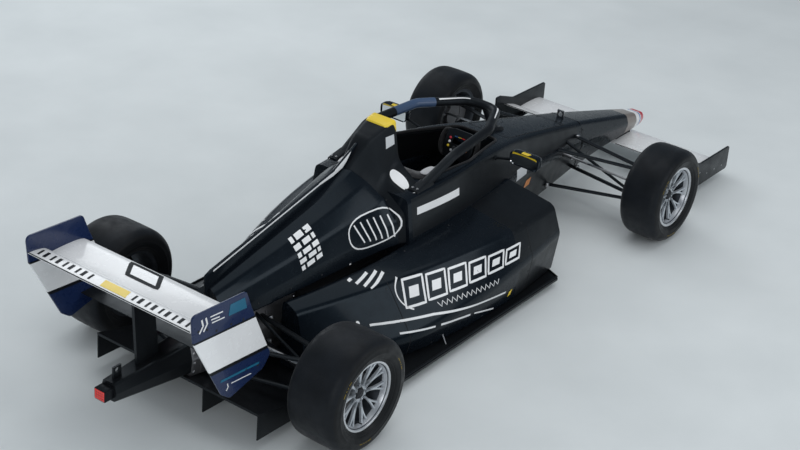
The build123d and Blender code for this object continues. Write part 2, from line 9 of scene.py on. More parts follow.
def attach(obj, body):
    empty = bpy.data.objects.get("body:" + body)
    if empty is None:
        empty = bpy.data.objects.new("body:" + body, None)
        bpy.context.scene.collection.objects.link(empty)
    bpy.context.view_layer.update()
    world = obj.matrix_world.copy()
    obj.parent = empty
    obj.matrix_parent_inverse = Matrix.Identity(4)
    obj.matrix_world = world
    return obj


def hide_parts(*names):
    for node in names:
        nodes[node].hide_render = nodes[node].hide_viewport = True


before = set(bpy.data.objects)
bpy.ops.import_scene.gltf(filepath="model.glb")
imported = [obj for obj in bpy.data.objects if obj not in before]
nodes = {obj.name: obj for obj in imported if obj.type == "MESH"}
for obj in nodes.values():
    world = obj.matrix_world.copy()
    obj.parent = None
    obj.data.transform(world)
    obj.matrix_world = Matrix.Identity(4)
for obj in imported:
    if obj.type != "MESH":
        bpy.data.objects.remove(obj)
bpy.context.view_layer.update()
print("frame loaded:", len(nodes), "nodes")


# materials

def addNode(tree, kind, given, **settings):
    # given: for each input a value, or the socket that feeds it
    node = tree.nodes.new(kind)
    for key, value in settings.items():
        setattr(node, key, value)
    for label, value in given.items():
        if isinstance(value, bpy.types.NodeSocket):
            tree.links.new(value, node.inputs[label])
        else:
            node.inputs[label].default_value = value
    return node


def addRamp(tree, fac, stops, socket):
    ramp = addNode(tree, "ShaderNodeValToRGB", {"Fac": fac})
    elements = ramp.color_ramp.elements
    while len(elements) < len(stops):
        elements.new(0.5)
    for e, (at, tone) in zip(elements, stops):
        e.position = at
        e.color = (*tone, 1) if isinstance(tone, (tuple, list)) else (tone, tone, tone, 1)
    tree.links.new(ramp.outputs["Color"], socket)


def newSurface(name, tone, rough, levels, bumps=(), stretch=None):
    # tone and rough: what draws them, its detail, the stops; bumps: what draws them, detail, strength, distance
    m = bpy.data.materials.new(name)
    m.use_nodes = True
    tree = m.node_tree
    shader = tree.nodes["Principled BSDF"]
    co = tree.nodes.new("ShaderNodeTexCoord").outputs["Object"]
    if stretch:
        co = addNode(tree, "ShaderNodeMapping", {"Vector": co, "Scale": stretch}).outputs["Vector"]
    drawn = {}

    def draw(source, detail):
        # a number is the scale of a noise, a function draws a pattern of its own
        if (source, detail) not in drawn:
            drawn[source, detail] = source(tree, co) if callable(source) else addNode(
                tree, "ShaderNodeTexNoise", {"Vector": co, "Scale": source, "Detail": detail}).outputs["Fac"]
        return drawn[source, detail]

    for label, value in levels.items():
        shader.inputs[label].default_value = value
    addRamp(tree, draw(*tone[:2]), tone[2], shader.inputs["Base Color"])
    if rough:
        addRamp(tree, draw(*rough[:2]), rough[2], shader.inputs["Roughness"])
    normal = shader.inputs["Normal"]
    for source, detail, strength, distance in bumps:
        given = {"Height": draw(source, detail), "Strength": strength, "Distance": distance}
        if normal.is_linked:
            given["Normal"] = normal.links[0].from_socket
        tree.links.new(addNode(tree, "ShaderNodeBump", given).outputs["Normal"], normal)
    return m


def paint(name, colour, rough=0.3, coat=0.2, shine=0.5, tint=(1, 1, 1)):
    # sprayed paint: a clear coat, a faint ripple, and a film of dust that dulls it in patches
    soft = [min(1, c * 1.15 + 0.003) for c in colour]
    return newSurface(name, (3.2, 6, [(0.35, colour), (0.75, soft)]), (26, 5, [(0.3, rough), (0.8, rough + 0.1225)]),
                      {"Specular IOR Level": shine, "Specular Tint": (*tint, 1), "Coat Weight": coat,
                       "Coat Roughness": 0.09}, [(110, 2, 0.03, 0.0005)])


def carbonWeave(name, base=(0.0042, 0.0047, 0.0056), pale=(0.017, 0.0185, 0.021), rough=0.34, size=150, coat=0.12):
    def twill(tree, co):
        # two crossed band patterns, one per fibre direction
        turned = addNode(tree, "ShaderNodeMapping", {"Vector": co, "Rotation": (0.6, 0.0, 0.785)}).outputs["Vector"]
        x, y = [addNode(tree, "ShaderNodeTexWave", {"Vector": turned, "Scale": size, "Distortion": 0.4},
                        bands_direction=way).outputs["Fac"] for way in "XY"]
        return addNode(tree, "ShaderNodeMath", {0: x, 1: y}, operation="MULTIPLY").outputs[0]
    return newSurface(name, (twill, 0, [(0.1, base), (0.7, pale)]), (14, 4, [(0.3, rough - 0.06), (0.8, rough + 0.14)]),
                      {"Specular IOR Level": 0.22, "Specular Tint": (0.68, 0.86, 1, 1), "Coat Weight": coat,
                       "Coat Roughness": 0.16}, [(twill, 0, 0.12, 0.0005)])


def rubber(name, colour, pale, rough=0.6, grain=90, sheen=0.25):
    return newSurface(name, (7, 8, [(0.3, colour), (0.72, pale)]), (22, 6, [(0.3, rough - 0.1), (0.8, rough + 0.18)]),
                      {"Sheen Weight": sheen, "Sheen Roughness": 0.4, "Specular IOR Level": 0.22},
                      [(grain, 8, 0.35, 0.0015), (420, 3, 0.25, 0.0005)])


def bareMetal(name, colour, rough, metal=1.0, scale=80, spread=0.2, strength=0.08, stretch=None):
    darker = [c * 0.84 for c in colour]
    return newSurface(name, (scale * 0.3, 6, [(0.3, darker), (0.7, colour)]),
                      (scale, 8, [(0.25, rough), (0.8, rough + spread)]), {"Metallic": metal},
                      [(scale * 3, 6, strength, 0.0006)], stretch)


def cloth(name, colour, pale, threads=900):
    def weft(tree, co):
        return addNode(tree, "ShaderNodeTexWave", {"Vector": co, "Scale": threads / 6, "Distortion": 1.2},
                       bands_direction="DIAGONAL").outputs["Fac"]
    return newSurface(name, (18, 6, [(0.3, colour), (0.75, pale)]), None, {"Roughness": 0.85, "Sheen Weight": 0.4},
                      [(weft, 0, 0.25, 0.0008), (threads, 4, 0.3, 0.0006)])


def glassy(name, colour, rough=0.04):
    return newSurface(name, (12, 4, [(0.3, colour), (0.8, [c * 0.85 for c in colour])]),
                      (60, 4, [(0.4, rough), (0.8, rough + 0.06)]), {"Metallic": 1})


def lensCells(tree, co):
    return addNode(tree, "ShaderNodeTexVoronoi", {"Vector": co, "Scale": 120}).outputs["Distance"]


def alongPipe(tree, co):
    x = addNode(tree, "ShaderNodeSeparateXYZ", {"Vector": co}).outputs["X"]
    return addNode(tree, "ShaderNodeMapRange", {"Value": x, "From Min": -2.03, "From Max": -1.75}).outputs["Result"]


mats = {
    "bodyBlack": paint("gloss black body paint", (0.0040, 0.0062, 0.0095), 0.20, 0.11, 0.16, (0.58, 0.82, 1.0)),
    "hoopBlack": carbonWeave("satin black carbon", (0.005, 0.005, 0.006), (0.013, 0.014, 0.016), rough=0.46, coat=0.05),
    "carbon": carbonWeave("bare carbon weave"),
    "armCarbon": carbonWeave("wrapped carbon arm", rough=0.3, size=190),
    "white": paint("white body paint", (0.80, 0.81, 0.82), 0.2, 0.5),
    "decalWhite": paint("white film", (0.78, 0.79, 0.80)),
    "navy": paint("navy blue paint", (0.0085, 0.020, 0.070), 0.24, 0.3, 0.3),
    "teal": paint("teal film", (0.010, 0.120, 0.210)),
    "haloBlue": paint("muted blue film", (0.040, 0.075, 0.150)),
    "brightBlue": paint("bright blue film", (0.03, 0.16, 0.42), coat=0.3),
    "yellow": paint("yellow film", (0.80, 0.58, 0.03), coat=0.3),
    "red": paint("red nose paint", (0.55, 0.03, 0.05), 0.25, 0.5),
    "stone": paint("grey brown nose paint", (0.20, 0.17, 0.15), coat=0.4),
    "grey": paint("pale grey film", (0.52, 0.54, 0.56), 0.35),
    "orange": paint("orange paint", (0.60, 0.20, 0.03), 0.35, 0.3),
    "tyre": rubber("slick tyre rubber", (0.0042, 0.0058, 0.0082), (0.0095, 0.0122, 0.0165), 0.50, sheen=0.06),
    "sidewall": rubber("tyre side wall", (0.0052, 0.0060, 0.0072), (0.0100, 0.0112, 0.0130), 0.46, 160, 0.04),
    "tickYellow": rubber("yellow rubber", (0.20, 0.14, 0.012), (0.28, 0.20, 0.02), sheen=0.0),
    "trimRubber": rubber("rubber trim", (0.010, 0.010, 0.011), (0.020, 0.020, 0.022), grain=220, sheen=0.1),
    "grip": rubber("moulded grip", (0.012, 0.012, 0.013), (0.024, 0.024, 0.026), 0.7, 300),
    "rim": bareMetal("silver alloy", (0.62, 0.66, 0.70), 0.34, 0.55, 70, 0.12),
    # machined metal for the outer rim lip, also laid on a band of the barrel wall as a painted highlight; the dark grey
    # alloy after it is painted shade inside the barrel
    "rimLipAndPaintedHighlight": bareMetal("machined rim edge and painted highlight", (0.74, 0.76, 0.79), 0.26, 0.7, 70, 0.1),
    "rimPaintedShade": bareMetal("painted shade grey alloy", (0.085, 0.095, 0.110), 0.42, 0.8),
    "steel": bareMetal("bright steel", (0.55, 0.55, 0.56), 0.22, scale=40),
    "darkMetal": bareMetal("cast dark metal", (0.050, 0.052, 0.057), 0.42, 0.7, 60, strength=0.3),
    "magnesium": bareMetal("cast magnesium", (0.24, 0.24, 0.25), 0.45, 0.85, strength=0.35),
    "disc": bareMetal("ground disc iron", (0.34, 0.33, 0.32), 0.25, scale=120, strength=0.2),
    "copper": bareMetal("radiator fins", (0.12, 0.12, 0.125), 0.5, 0.9, 200, stretch=(1, 1, 8)),
    "suede": cloth("suede padding", (0.020, 0.020, 0.023), (0.036, 0.036, 0.041)),
    "webbing": cloth("belt webbing", (0.012, 0.012, 0.014), (0.030, 0.030, 0.034), 1500),
    "padGrey": cloth("pale grey padding", (0.42, 0.43, 0.45), (0.52, 0.53, 0.55)),
    "mirror": glassy("mirror glass", (0.75, 0.78, 0.80)),
    "screen": glassy("dark display", (0.02, 0.03, 0.04), 0.08),
    "redLens": newSurface("red lamp lens", (lensCells, 0, [(0.1, (0.55, 0.015, 0.01)), (0.6, (0.275, 0.0075, 0.005))]),
                          None, {"Emission Color": (0.55, 0.015, 0.01, 1), "Emission Strength": 0.5, "Roughness": 0.15,
                                 "Coat Weight": 1}),
    "exhaust": newSurface("heat tinted steel",
                          (alongPipe, 0, [(0.0, (0.10, 0.09, 0.10)), (0.35, (0.22, 0.16, 0.22)),
                                          (0.65, (0.42, 0.30, 0.18)), (1.0, (0.45, 0.42, 0.38))]),
                          (60, 4, [(0.3, 0.25), (0.8, 0.5)]), {"Metallic": 1}, [(200, 4, 0.1, 0.0005)]),
    "floor": newSurface("pale floor", (1.6, 6, [(0.3, (0.66, 0.70, 0.71)), (0.75, (0.73, 0.77, 0.78))]), None,
                        {"Roughness": 0.75}, [(240, 8, 0.15, 0.002)]),
}
print("materials made:", len(mats))


# making and keeping pieces

def circle(count):
    return [(math.cos(2 * math.pi * k / count), math.sin(2 * math.pi * k / count)) for k in range(count)]


def addObject(name, data):
    obj = bpy.data.objects.new(name, data)
    bpy.context.scene.collection.objects.link(obj)
    return obj


def shade(obj, sharp=32):
    me = obj.data
    me.polygons.foreach_set("use_smooth", [True] * len(me.polygons))
    me.set_sharp_from_angle(angle=math.radians(sharp))
    me.update()
    return obj


def setMaterials(me, names, pick=lambda p: 0):
    me.materials.clear()
    for m in names:
        me.materials.append(mats[m])
    me.polygons.foreach_set("material_index", [pick(p) for p in me.polygons])
    me.update()


def cleaned(me, gap, outward=True):
    bm = bmesh.new()
    bm.from_mesh(me)
    bmesh.ops.remove_doubles(bm, verts=bm.verts, dist=gap)
    if outward:
        bmesh.ops.recalc_face_normals(bm, faces=bm.faces)
    bm.to_mesh(me)
    bm.free()


def buildMesh(name, verts, faces, material, sharp=32, faceMats=None):
    # a plain mesh piece at the origin, outward and closed, smooth apart from its sharp edges
    me = bpy.data.meshes.new(name)
    me.from_pydata([tuple(v) for v in verts], [], faces)
    for m in [material] if isinstance(material, str) else material:
        me.materials.append(mats[m])
    if faceMats:
        me.polygons.foreach_set("material_index", faceMats)
    cleaned(me, 1e-6)
    return shade(addObject(name, me), sharp)


def keep(obj, slot, *replaced, body="root"):
    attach(obj, body)
    if replaced:
        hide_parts(*replaced)
    return obj


def applyModifiers(obj):
    dg = bpy.context.evaluated_depsgraph_get()
    me = bpy.data.meshes.new_from_object(obj.evaluated_get(dg))
    obj.modifiers.clear()
    old = obj.data
    obj.data = me
    bpy.data.meshes.remove(old)
    return obj


def addModifier(obj, kind, **settings):
    mod = obj.modifiers.new(kind.lower(), kind)
    for key, value in settings.items():
        setattr(mod, key, value)
    return mod


def bevelled(obj, width, segments=2, angle=35):
    addModifier(obj, "BEVEL", width=width, segments=segments, limit_method="ANGLE", angle_limit=math.radians(angle),
                harden_normals=False)
    return shade(applyModifiers(obj))


def softened(obj):
    addModifier(obj, "SUBSURF", levels=1, render_levels=1)
    return shade(applyModifiers(obj), 180)


def booleanCut(obj, *cutters):
    for c in cutters:
        addModifier(obj, "BOOLEAN", object=c, operation="DIFFERENCE", solver="EXACT")
    applyModifiers(obj)
    for c in cutters:
        bpy.data.objects.remove(c)
    return obj


def joined(name, objs, sharp=None):
    for o in bpy.context.selected_objects:
        o.select_set(False)
    for o in objs:
        o.select_set(True)
    bpy.context.view_layer.objects.active = objs[0]
    if len(objs) > 1:
        bpy.ops.object.join()
    objs[0].name = objs[0].data.name = name
    return shade(objs[0], sharp) if sharp else objs[0]


def mirroredCopy(obj, name):
    me = obj.data.copy()
    me.transform(Matrix.Scale(-1, 4, (0, 1, 0)))
    me.flip_normals()
    return addObject(name, me)


def moved(obj, place, degrees=0, axis="X"):
    obj.data.transform(Matrix.Translation(place) @ Matrix.Rotation(math.radians(degrees), 4, axis))
    return obj


def cornerArc(before, p, after, radius, share, steps):
    # points that round the corner at p
    da, db = (before - p).normalized(), (after - p).normalized()
    cut = min(radius / max(math.tan(da.angle(db) / 2), 1e-4), share * (before - p).length, share * (after - p).length)
    start, end = p + da * cut, p + db * cut
    return [start * (1 - t) ** 2 + p * (2 * t * (1 - t)) + end * t ** 2 for t in [k / steps for k in range(steps + 1)]]


def roundOutline(points, radii, steps=4):
    # polygon with arcs in its corners: the same count of points whatever the sizes
    pts = [Vector(p) for p in points]
    if not isinstance(radii, (list, tuple)):
        radii = [radii] * len(pts)
    corners = zip(pts[-1:] + pts[:-1], pts, pts[1:] + pts[:1], radii)
    return [q for before, p, after, r in corners for q in cornerArc(before, p, after, r, 0.46, steps)]


def roundPath(points, radius, steps=8):
    pts = [Vector(p) for p in points]
    inner = [q for a, p, b in zip(pts, pts[1:], pts[2:]) for q in cornerArc(a, p, b, radius, 0.45, steps)]
    return [pts[0]] + inner + [pts[-1]]


def evenPath(points, step):
    out = [Vector(points[0])]
    for a, b in zip(points, points[1:]):
        n = max(1, int((Vector(b) - Vector(a)).length / step))
        out += [Vector(a).lerp(Vector(b), (k + 1) / n) for k in range(n)]
    return out


def smoothRows(table, steps):
    # Catmull-Rom between the rows of a table of numbers
    rows = []
    n = len(table)
    for i in range(n - 1):
        four = table[max(i - 1, 0)], table[i], table[i + 1], table[min(i + 2, n - 1)]
        for t in [k / steps for k in range(steps)]:
            rows.append([0.5 * (2 * b + (c - a) * t + (2 * a - 5 * b + 4 * c - d) * t * t
                                + (3 * b - a - 3 * c + d) * t ** 3) for a, b, c, d in zip(*four)])
    return rows + [list(table[-1])]


def rowAt(rows, at):
    # a row of numbers between two rows of a table, read by its first number
    for a, b in zip(rows, rows[1:]):
        if a[0] <= at <= b[0] + 1e-9:
            t = (at - a[0]) / (b[0] - a[0])
            return [p + (q - p) * t for p, q in zip(a, b)]
    return rows[0] if at < rows[0][0] else rows[-1]


def tangents(pts, closed=False):
    n = len(pts)
    if closed:
        return [(pts[(i + 1) % n] - pts[i - 1]).normalized() for i in range(n)]
    return [(pts[min(i + 1, n - 1)] - pts[max(i - 1, 0)]).normalized() for i in range(n)]


def loft(name, rings, material, sharp=32, faceMat=None, capped=True):
    # rings of equal length joined in order; faceMat(centre) picks a material index
    m = len(rings[0])
    verts = [Vector(v) for ring in rings for v in ring]
    faces = [(i + j, i + (j + 1) % m, i + m + (j + 1) % m, i + m + j) for i in range(0, len(verts) - m, m)
             for j in range(m)]
    if capped:
        faces += [tuple(range(m)), tuple(range(len(verts) - m, len(verts)))]
    picks = faceMat and [faceMat(sum((verts[i] for i in f), Vector()) / len(f)) for f in faces]
    return buildMesh(name, verts, faces, material, sharp, picks)


def sectionLoft(name, table, section, material, sharp=32, faceMat=None):
    # section(*row) gives the outline across the car at the x that starts the row
    rings = [[(row[0], p[0], p[1]) for p in section(*row[1:])] for row in table]
    return loft(name, rings, material, sharp, faceMat)


def lathe(name, profile, centre, material, segments=72, sharp=30, faceMat=None):
    # profile of (radius, y) turned round a line along Y; one that ends where it began has no caps
    x, y0, z = centre
    rings = [[(x + r * c, y0 + y, z + r * s) for c, s in circle(segments)] for r, y in profile]
    return loft(name, rings, material, sharp, faceMat, profile[0] != profile[-1])


def turned(name, profile, sides, material="steel", sharp=32, at=(0, 0)):
    # profile of (radius, z) turned round a line along Z
    rings = [[(at[0] + r * c, at[1] + r * s, z) for c, s in circle(sides)] for r, z in profile]
    return loft(name, rings, material, sharp)


def tubeAlong(name, path, radius, material, sides=12, closed=False, squash=1.0, up=(0, 0, 1)):
    # bar along points, round or flattened, with capped ends
    pts = [Vector(p) for p in path]
    rings = []
    for i, (p, t) in enumerate(zip(pts, tangents(pts, closed))):
        side = t.cross(Vector(up))
        side = side.normalized() if side.length > 1e-4 else Vector((1, 0, 0))
        top = side.cross(t).normalized()
        r = radius[i] if isinstance(radius, (list, tuple)) else radius
        rings.append([p + side * r * c + top * r * squash * s for c, s in circle(sides)])
    return loft(name, rings + rings[:1] if closed else rings, material, 40, capped=not closed)


def slabXZ(name, outline, y0, y1, material):
    # plate standing along the car from (x, z) points
    return loft(name, [[(x, y, z) for x, z in outline] for y in (y0, y1)], material)


def boxMesh(name, lo, hi, material, bevel=0.003, segments=3):
    (x0, y0, z0), (x1, y1, z1) = lo, hi
    rings = [[(x0, y0, z), (x1, y0, z), (x1, y1, z), (x0, y1, z)] for z in (z0, z1)]
    return bevelled(loft(name, rings, material), bevel, segments)


def surfaceOf(*objs):
    # what films and fasteners are laid on
    verts, polys = [], []
    for o in objs:
        base = len(verts)
        verts += [v.co.copy() for v in o.data.vertices]
        polys += [tuple(base + i for i in p.vertices) for p in o.data.polygons]
    return BVHTree.FromPolygons(verts, polys)


def laidPoint(surface, start, ray, lift):
    hit, normal, _, _ = surface.ray_cast(Vector(start), Vector(ray))
    if hit is None:
        return None
    if normal.dot(Vector(ray)) > 0:
        normal = -normal
    return hit + normal * lift, normal


views = {   # start point of a ray for a flat point, and the ray
    "right": (lambda a, b: (a, -1.4, b), (0, 1, 0)),
    "left": (lambda a, b: (a, 1.4, b), (0, -1, 0)),
    "top": (lambda a, b: (a, b, 1.5), (0, 0, -1)),
}
flanks = ("right", "left")
bases = {}   # surfaces that films are laid on
films = {}   # film pieces laid so far, by material


def layFilm(view, flat, faces, material, base, lift, thick, good):
    # flat points dropped on a surface and made into a closed film; good() turns down stretched faces
    for way in flanks if view == "flanks" else (view,):
        start, ray = views[way]
        laid = [laidPoint(bases[base], start(*p), ray, lift) for p in flat]
        kept = [f for f in faces if all(laid[i] for i in f) and good([laid[i][0] for i in f])]
        used = sorted({i for f in kept for i in f})
        at = {v: k for k, v in enumerate(used)}
        n = len(used)
        low = [laid[i][0] for i in used]
        high = [laid[i][0] + laid[i][1] * thick for i in used]
        quads, edges = [], {}
        for f in kept:
            g = [at[i] for i in f]
            quads += [[i + n for i in g], g[::-1]]
            edges.update({(g[k - 1], g[k]): 1 for k in range(len(g))})
        quads += [[a, b, b + n, a + n] for a, b in edges if (b, a) not in edges]
        films.setdefault(material, []).append(buildMesh("film", low + high, quads, material, 60))


def filmPatch(view, outline, material, base="panels", cell=0.02, lift=0.0007, thick=0.0006):
    # thin film cut to an outline
    bm = bmesh.new()
    bm.faces.new([bm.verts.new((a, b, 0)) for a, b in outline])
    bmesh.ops.triangulate(bm, faces=bm.faces[:])
    for axis, normal in enumerate(((1, 0, 0), (0, 1, 0))):
        at = min(p[axis] for p in outline) + cell
        while at < max(p[axis] for p in outline):
            bmesh.ops.bisect_plane(bm, geom=bm.verts[:] + bm.edges[:] + bm.faces[:],
                                   plane_co=[at * c for c in normal], plane_no=normal)
            at += cell
    bm.verts.index_update()
    flat = [(v.co.x, v.co.y) for v in bm.verts]
    faces = [[v.index for v in f.verts] for f in bm.faces]
    bm.free()
    layFilm(view, flat, faces, material, base, lift, thick,
            lambda p: max((p[k] - p[k - 1]).length for k in range(len(p))) < cell * 4)


def filmLine(view, path, width, material, base="panels", closed=False, step=0.012, lift=0.0008, thick=0.0006):
    # thin film band along a drawn line
    pts = [Vector(p) for p in path]
    dense = []
    for a, b in zip(pts, pts[1:] + pts[:1] if closed else pts[1:]):
        count = max(1, int((b - a).length / step))
        dense += [a.lerp(b, k / count) for k in range(count)]
    if not closed:
        dense.append(pts[-1])
    sides = [Vector((-t.y, t.x)) * width / 2 for t in tangents(dense, closed)]
    flat = [q for p, side in zip(dense, sides) for q in (p + side, p - side)]
    rows = list(range(0, len(flat), 2)) + ([0] if closed else [])
    layFilm(view, flat, [(a, a + 1, c + 1, c) for a, c in zip(rows, rows[1:])], material, base, lift, thick,
            lambda p: max((p[0] - p[3]).length, (p[1] - p[2]).length) < step * 5 and (p[0] - p[1]).length < width * 3)


# Geometry Nodes: copies of one piece, realised and given their material

def copyTree(name, labels, build):
    # build(tree, given) gives the points, their rotation and their scale
    tree = bpy.data.node_groups.new(name, "GeometryNodeTree")
    tree.interface.new_socket("Geometry", in_out="INPUT", socket_type="NodeSocketGeometry")
    ids = {label: tree.interface.new_socket(label, in_out="INPUT", socket_type="NodeSocket" + kind).identifier
           for label, kind in {**labels, "Piece": "Object", "Material": "Material"}.items()}
    tree.interface.new_socket("Geometry", in_out="OUTPUT", socket_type="NodeSocketGeometry")
    given = tree.nodes.new("NodeGroupInput").outputs
    piece = addNode(tree, "GeometryNodeObjectInfo", {"Object": given["Piece"]}).outputs["Geometry"]
    copies = addNode(tree, "GeometryNodeInstanceOnPoints", {"Instance": piece, **build(tree, given)})
    real = addNode(tree, "GeometryNodeRealizeInstances", {0: copies.outputs[0]})
    done = addNode(tree, "GeometryNodeSetMaterial", {"Geometry": real.outputs[0], "Material": given["Material"]})
    addNode(tree, "NodeGroupOutput", {0: done.outputs[0]})
    return tree, ids


def roundAxle(tree, given):
    # evenly round the Y axis
    line = addNode(tree, "GeometryNodeMeshLine", {"Count": given["Count"], "Offset": (0, 0, 0)})
    index = tree.nodes.new("GeometryNodeInputIndex").outputs[0]
    share = addNode(tree, "ShaderNodeMath", {0: index, 1: given["Count"]}, operation="DIVIDE").outputs[0]
    turn = addNode(tree, "ShaderNodeMath", {0: share, 1: 2 * math.pi, 2: given["Start Angle"]},
                   operation="MULTIPLY_ADD").outputs[0]
    spin = addNode(tree, "ShaderNodeCombineXYZ", {"Y": turn}).outputs[0]
    out = addNode(tree, "ShaderNodeCombineXYZ", {"X": given["Radius"]}).outputs[0]
    spot = addNode(tree, "ShaderNodeVectorRotate", {"Vector": out, "Rotation": spin}, rotation_type="EULER_XYZ")
    place = addNode(tree, "GeometryNodeSetPosition", {"Geometry": line.outputs[0], "Position": spot.outputs[0]})
    return {"Points": place.outputs[0], "Rotation": spin}


def alongLine(tree, given):
    # at even spacing along a drawn line, turned along it
    curve = addNode(tree, "GeometryNodeMeshToCurve", {0: given["Geometry"]}).outputs[0]
    points = addNode(tree, "GeometryNodeCurveToPoints", {0: curve, "Length": given["Spacing"]}, mode="LENGTH").outputs
    return {"Points": points["Points"], "Rotation": points["Rotation"]}


def onPoints(tree, given):
    # on each vertex, standing along its "facing"
    facing = addNode(tree, "GeometryNodeInputNamedAttribute", {"Name": "facing"}, data_type="FLOAT_VECTOR").outputs[0]
    align = addNode(tree, "FunctionNodeAlignEulerToVector", {"Vector": facing}, axis="Z")
    return {"Points": given["Geometry"], "Rotation": align.outputs[0], "Scale": given["Size"]}


trees = {
    "ring": copyTree("copies round an axle", {"Count": "Int", "Radius": "Float", "Start Angle": "Float"}, roundAxle),
    "row": copyTree("copies along a path", {"Spacing": "Float"}, alongLine),
    "studs": copyTree("fasteners on points", {"Size": "Float"}, onPoints),
}


def growOn(kind, name, points, edges, given, piece, material, facing=(), sharp=32):
    # run one tree on a bare mesh and keep what it gives as a plain mesh; the piece is used up
    me = bpy.data.meshes.new(name)
    me.from_pydata([tuple(p) for p in points], edges, [])
    if facing:
        me.attributes.new("facing", "FLOAT_VECTOR", "POINT").data.foreach_set("vector", [c for n in facing for c in n])
    obj = addObject(name, me)
    tree, ids = trees[kind]
    mod = addModifier(obj, "NODES", node_group=tree)
    for label, value in {**given, "Piece": piece, "Material": mats[material]}.items():
        mod[ids[label]] = value
    me.update()
    applyModifiers(obj)
    setMaterials(obj.data, [material])
    bpy.data.objects.remove(piece)
    return shade(obj, sharp)


def ringOf(name, piece, count, radius, centre, material, startAngle=0.0, sharp=32):
    return moved(growOn("ring", name, [], [], {"Count": count, "Radius": radius, "Start Angle": startAngle}, piece,
                        material, sharp=sharp), centre)


def rowOf(name, piece, points, spacing, material):
    edges = [(i, i + 1) for i in range(len(points) - 1)]
    return growOn("row", name, points, edges, {"Spacing": spacing}, piece, material)


def studsAt(name, piece, spots, material="steel", size=1.0):
    # spots: pairs of a point and the way it faces
    return keep(growOn("studs", name, [s[0] for s in spots], [], {"Size": size}, piece, material,
                       [s[1] for s in spots]), "dark_metal")


def laidSpots(points, view, base="panels", lift=0.0002):
    start, ray = views[view]
    laid = [laidPoint(bases[base], start(*p), ray, lift) for p in points]
    return [spot for spot in laid if spot]


def bothSpots(points, facing):
    return [(p, facing) for p in points] + [((x, -y, z), (facing[0], -facing[1], facing[2])) for x, y, z in points]


def hexNut(radius, height):
    return turned("nut", [(radius, -0.001), (radius, height * 0.8), (radius * 0.86, height), (radius * 0.5, height),
                          (radius * 0.5, height * 1.5), (radius * 0.35, height * 1.6)], 6)


def screwHead(radius, height):
    return turned("screw", [(radius, -0.001), (radius, height * 0.55), (radius * 0.8, height), (radius * 0.45, height),
                            (radius * 0.38, height * 0.35)], 14)


print("node trees made")


# wheels

wheel = {"flangeR": 0.182, "seatR": 0.165, "barrelR": 0.156, "faceInset": 0.025, "hubR": 0.046, "spokes": 10,
         "forkR": 0.110, "forkSpread": math.radians(6.6), "dish": 0.014, "discR": 0.122, "discInset": 0.130,
         # coloured dashes on the side wall, in degrees: where each group starts; start and length of a dash
         "ticksAt": (14, 134, 254), "ticks": ((0, 5), (7, 2), (11, 2), (15, 6)), "tickR": (0.2312, 0.2350)}
corners = {   # axle x, tyre radius, width, y of the outer side wall
    "front": (1.325, 0.280, 0.247, 0.900),
    "rear": (-1.575, 0.290, 0.292, 0.895),
}


def tyreProfile(radius, width, outerY):
    # radius, and inset from the side wall, from the bead to the middle of the tread
    half = [(0.166, 0.030), (0.176, 0.024), (0.184, 0.0185), (0.190, 0.0135), (0.1935, 0.0105), (0.196, 0.0105),
            (0.199, 0.0068), (0.206, 0.0040), (0.214, 0.0016), (0.222, 0.0012), (0.2235, 0.0001), (0.228, 0.0001),
            (0.2295, 0.0010)]
    half += [(radius - drop, inset) for drop, inset in (
        (0.043, 0.0014), (0.034, 0.0038), (0.024, 0.0094), (0.015, 0.0180), (0.0085, 0.0275), (0.0045, 0.0370),
        (0.0022, 0.0480), (0.0008, 0.0680), (0, width / 2 - 0.001))]
    out = [(r, outerY - inset) for r, inset in half] + [(r, outerY - width + inset) for r, inset in reversed(half)]
    return out + out[:1]


def barrelProfile(yOut, yIn):
    f, s, b = wheel["flangeR"], wheel["seatR"], wheel["barrelR"]
    outer = [(f - 0.0012, 0.0003), (f, 0.0015), (f, 0.0045), (f - 0.004, 0.0062), (s, 0.008), (s, 0.03),
             (s - 0.006, 0.045)]
    inner = [(s - 0.006, 0.05), (s, 0.035), (s, 0.008), (f - 0.004, 0.0062), (f, 0.0045), (f - 0.001, 0),
             (f - 0.012, 0.0005), (b + 0.004, 0.007), (b - 0.001, 0.018), (b - 0.006, 0.06)]
    back = [(b - 0.007, 0.085), (b - 0.005, 0.062), (b - 0.002, 0.048), (b + 0.0010, 0.037), (b + 0.0035, 0.015),
            (b + 0.0060, 0.0105), (f - 0.0165, 0.0070), (f - 0.0150, 0.0012), (f - 0.0135, 0), (f - 0.0012, 0.0003)]
    return [(r, yOut - y) for r, y in outer] + [(r, yIn + y) for r, y in inner] + [(r, yOut - y) for r, y in back]


def spokeBranch(yFace, way):
    # one arm of a forked spoke, from the hub out to the barrel, dished and tapering, drawn along +X
    hub, fork, end = wheel["hubR"] - 0.006, wheel["forkR"] * 0.72, wheel["barrelR"] + 0.0068
    rings = []
    for t in [i / 12 for i in range(13)]:
        r = hub + (end - hub) * t
        angle = way * wheel["forkSpread"] * max(0, (r - fork) / (end - fork)) ** 1.15
        half = 0.0066 - 0.0022 * t + 0.0016 * max(0, 1 - t * 6) + 0.0020 * max(0, t - 0.86) / 0.14
        top = yFace + 0.0005 - wheel["dish"] * (1 - t ** 1.5)
        deep = 0.0135 + 0.003 * (1 - t)
        right = [(0.6, 0), (1, 0.0035), (0.72, deep * 0.4), (1, deep)]
        section = [(-half * w, top - y) for w, y in reversed(right)] + [(half * w, top - y) for w, y in right]
        c, s = math.cos(angle), math.sin(angle)
        rings.append([(r * c - w * s, y, r * s + w * c) for w, y in section])
    return loft("spokeArm", rings, "rim", 28)


